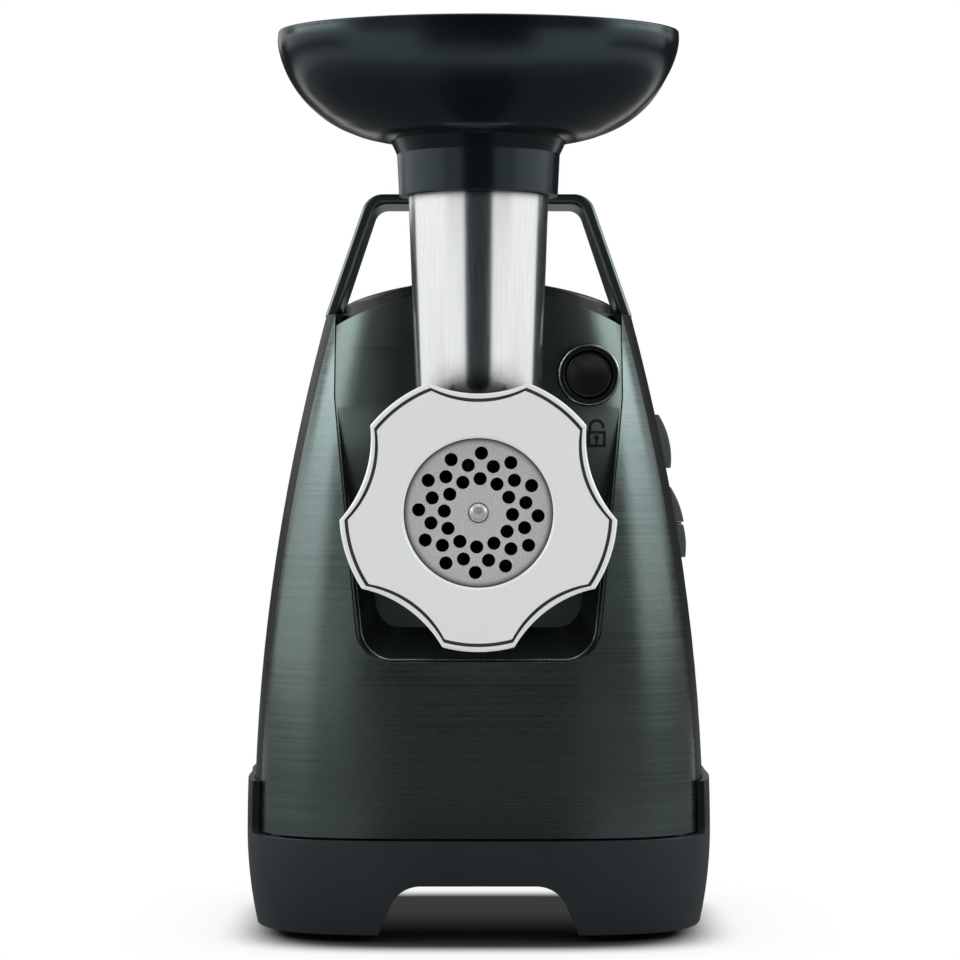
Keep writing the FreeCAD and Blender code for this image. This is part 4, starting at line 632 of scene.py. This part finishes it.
def make_button_rib():
    """Thin rounded rib of the shell in the slit between the on and off buttons."""
    near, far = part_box("on_button")
    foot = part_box("off_button")[1][2] + RIB_GAP
    top = near[2] - RIB_GAP
    middle = (near[1] + far[1]) / 2
    half = (far[1] - near[1]) / 2
    count = 16
    around = 4
    vertices = []
    faces = [list(range(around))]
    for i in range(count + 1):
        share = -1.0 + 2.0 * i / count
        y = middle + half * share
        wall = side_x("rear_shell", y, (foot + top) / 2)
        root = wall - RIB_ROOT
        tip = wall + RIB_PROUD * (1.0 - share ** 4)
        vertices += [(root, y, foot), (tip, y, foot), (tip, y, top), (root, y, top)]
        if i:
            faces += band((i - 1) * around, i * around, around)
    faces.append([count * around + j for j in range(around)])
    mesh = new_mesh("button_rib", vertices, faces)
    dressed("button_rib", mesh, shell_plastic, "rear_shell")


def make_spring_coil(button):
    """Return spring as a copy of its own with the screw finish, riding on the spring's body; the part's own
    spring is hidden.
    """
    node = button + "_spring"
    mesh = nodes[node].data.copy()
    mesh.materials.clear()
    piece = dressed(button + "_coil", mesh, screw_steel, node)
    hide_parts(node)
    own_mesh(piece)


make_padlock()
make_lock_trim()
make_window_trim()
make_button_rib()
make_spring_coil("lock")
for button in ("reverse", "on", "off"):
    make_spring_coil(button)


# Background and floor

def seen_rays(tree):
    """1 for rays from the camera, a mirror or glass, and 0 for light on rough surfaces."""
    path = tree.nodes.new("ShaderNodeLightPath")
    mirrored = reckoned(tree, "MAXIMUM", path.outputs["Is Camera Ray"], path.outputs["Is Glossy Ray"])
    return reckoned(tree, "MAXIMUM", mirrored, path.outputs["Is Transmission Ray"])


def make_world():
    world = bpy.data.worlds.new("studio")
    bpy.context.scene.world = world
    world.use_nodes = True
    tree = world.node_tree
    background = tree.nodes["Background"]
    background.inputs["Color"].default_value = WHITE
    strength = ranged(tree, seen_rays(tree), AMBIENT, 1.0, 0.0, 1.0)
    tree.links.new(strength, background.inputs["Strength"])


def stage_mesh(name, vertices, faces, material):
    mesh = new_mesh(name, vertices, faces)
    mesh.materials.append(material)
    piece = bpy.data.objects.new(name, mesh)
    bpy.context.scene.collection.objects.link(piece)
    return piece


def flat_stage(name, outline, material):
    return stage_mesh(name, outline, [list(range(len(outline)))], material)


def disc(radius, z):
    count = 64
    points = []
    for i in range(count):
        angle = 2 * math.pi * i / count
        points.append((radius * math.cos(angle), radius * math.sin(angle), z))
    return points


def wedge(radius, half_angle, z):
    """Sector of a disc that opens to the front."""
    count = 16
    points = [(0.0, 0.0, z)]
    for i in range(count + 1):
        angle = math.radians(-90.0 + half_angle * (2.0 * i / count - 1.0))
        points.append((radius * math.cos(angle), radius * math.sin(angle), z))
    return points


def ground_reach(tree):
    """1 at the edge of the ground in shadow, a rounded rectangle, and more further out."""
    place = tree.nodes.new("ShaderNodeTexCoord")
    shift = tree.nodes.new("ShaderNodeMapping")
    shift.inputs["Location"].default_value = (0.0, -FOOTPRINT_Y / FOOTPRINT[1], 0.0)
    shift.inputs["Scale"].default_value = (1.0 / FOOTPRINT[0], 1.0 / FOOTPRINT[1], 1.0)
    squared = tree.nodes.new("ShaderNodeVectorMath")
    squared.operation = "MULTIPLY"
    total = tree.nodes.new("ShaderNodeVectorMath")
    total.operation = "DOT_PRODUCT"
    root = tree.nodes.new("ShaderNodeMath")
    root.operation = "POWER"
    root.inputs[1].default_value = 0.25
    tree.links.new(place.outputs["Object"], shift.inputs["Vector"])
    for i in range(2):
        tree.links.new(shift.outputs["Vector"], squared.inputs[i])
        tree.links.new(squared.outputs["Vector"], total.inputs[i])
    tree.links.new(total.outputs["Value"], root.inputs[0])
    return root.outputs["Value"]


def make_floor():
    """Pale floor that keeps the shadow under the object, with a painted shadow in the paper's colour there
    and painted light under the rear of the base, and runs into the white background further out.
    """
    material = bpy.data.materials.new("floor_paper")
    material.use_nodes = True
    tree = material.node_tree
    tree.nodes.clear()
    output = tree.nodes.new("ShaderNodeOutputMaterial")
    paper = tree.nodes.new("ShaderNodeBsdfDiffuse")
    white = tree.nodes.new("ShaderNodeEmission")
    mix = tree.nodes.new("ShaderNodeMixShader")
    reach = ground_reach(tree)
    # Painted shadow: the paper's colour is dark under the object and pale further out.
    tree.links.new(eased(tree, reach, PAINTED_SHADOW_EDGE, *PAINTED_SHADOW_TONE), paper.inputs["Color"])
    near_white = eased(tree, reach, WHITE_EDGE, 0.0, 1.0 - FAR_SHARE)
    far_white = eased(tree, reach, FAR_EDGE, 0.0, FAR_SHARE)
    outside = reckoned(tree, "ADD", near_white, far_white)
    # Painted light: a faint white glow on the ground under the rear of the base.
    painted_tunnel_light = eased(tree, own_place(tree, "Y"), PAINTED_TUNNEL_Y, 0.0, PAINTED_TUNNEL_GLOW)
    share = reckoned(tree, "MAXIMUM", outside, painted_tunnel_light)
    tree.links.new(reckoned(tree, "MULTIPLY", share, seen_rays(tree)), mix.inputs["Fac"])
    tree.links.new(paper.outputs["BSDF"], mix.inputs[1])
    tree.links.new(white.outputs["Emission"], mix.inputs[2])
    tree.links.new(mix.outputs["Shader"], output.inputs["Surface"])
    flat_stage("floor", disc(FLOOR_R, 0.0), material)


# Panels for reflections, lamps and camera

def glowing(name, colour, strength):
    material = shader(name, BLACK, 0.0, 1.0, 0.0)
    surface = surface_of(material)
    surface.inputs["Emission Color"].default_value = colour
    surface.inputs["Emission Strength"].default_value = strength
    return material


def reflection_only(panel):
    panel.visible_camera = False
    panel.visible_diffuse = False
    panel.visible_shadow = False
    panel.visible_transmission = False


def bent_panel(name, start, end, foot, top, radius, material):
    """Upright panel on a circle round the object."""
    count = 48
    vertices = []
    faces = []
    for i in range(count + 1):
        angle = math.radians(-90.0 - start - (end - start) * i / count)
        x = radius * math.cos(angle)
        y = radius * math.sin(angle)
        vertices += [(x, y, foot), (x, y, top)]
        if i:
            faces.append([2 * i - 2, 2 * i, 2 * i + 1, 2 * i - 1])
    reflection_only(stage_mesh(name, vertices, faces, material))


def make_panels():
    """Dark flags and bright cards that give gloss and metal their bands."""
    cloth = glowing("flag_cloth", FLAG_COLOUR, FLAG_GLOW)
    for name, start, end, foot, top in FLAG_SHAPES:
        bent_panel(name, start, end, foot, top, FLAG_R, cloth)
    grey = glowing("grey_floor", WHITE, GROUND_GLOW)
    reflection_only(flat_stage("grey_floor", disc(GROUND_CARD_R, GROUND_LIFT), grey))
    reflection_only(flat_stage("flag_floor", wedge(GROUND_CARD_R, WEDGE_HALF, 2 * GROUND_LIFT), cloth))
    for name, start, end, foot, top, radius, glow in CARD_SHAPES:
        bent_panel(name, start, end, foot, top, radius, glowing(name, WHITE, glow))


def soft_box(name, place, aim, size, radiance):
    lamp = bpy.data.lights.new(name, "AREA")
    lamp.shape = "RECTANGLE"
    lamp.size, lamp.size_y = size
    lamp.energy = radiance * math.pi * size[0] * size[1]
    box = bpy.data.objects.new(name, lamp)
    box.location = place
    box.rotation_euler = (Vector(aim) - Vector(place)).to_track_quat("-Z", "Y").to_euler()
    bpy.context.scene.collection.objects.link(box)


def make_camera():
    lens = bpy.data.cameras.new("camera")
    lens.lens = CAMERA_LENS
    lens.sensor_width = CAMERA_SENSOR
    camera = bpy.data.objects.new("camera", lens)
    camera.location = CAMERA_PLACE
    camera.rotation_euler = (math.pi / 2, 0.0, 0.0)
    bpy.context.scene.collection.objects.link(camera)
    bpy.context.scene.camera = camera


make_world()
make_floor()
make_panels()
soft_box("box_left", (-SIDE_REACH, SIDE_Y, SIDE_Z), SIDE_AIM, SIDE_BOX, SIDE_LIGHT)
soft_box("box_right", (SIDE_REACH, SIDE_Y, SIDE_Z), SIDE_AIM, SIDE_BOX, SIDE_LIGHT)
soft_box("box_top", TOP_PLACE, TOP_AIM, TOP_BOX, TOP_LIGHT)
make_camera()
bpy.context.scene.view_settings.view_transform = "Standard"
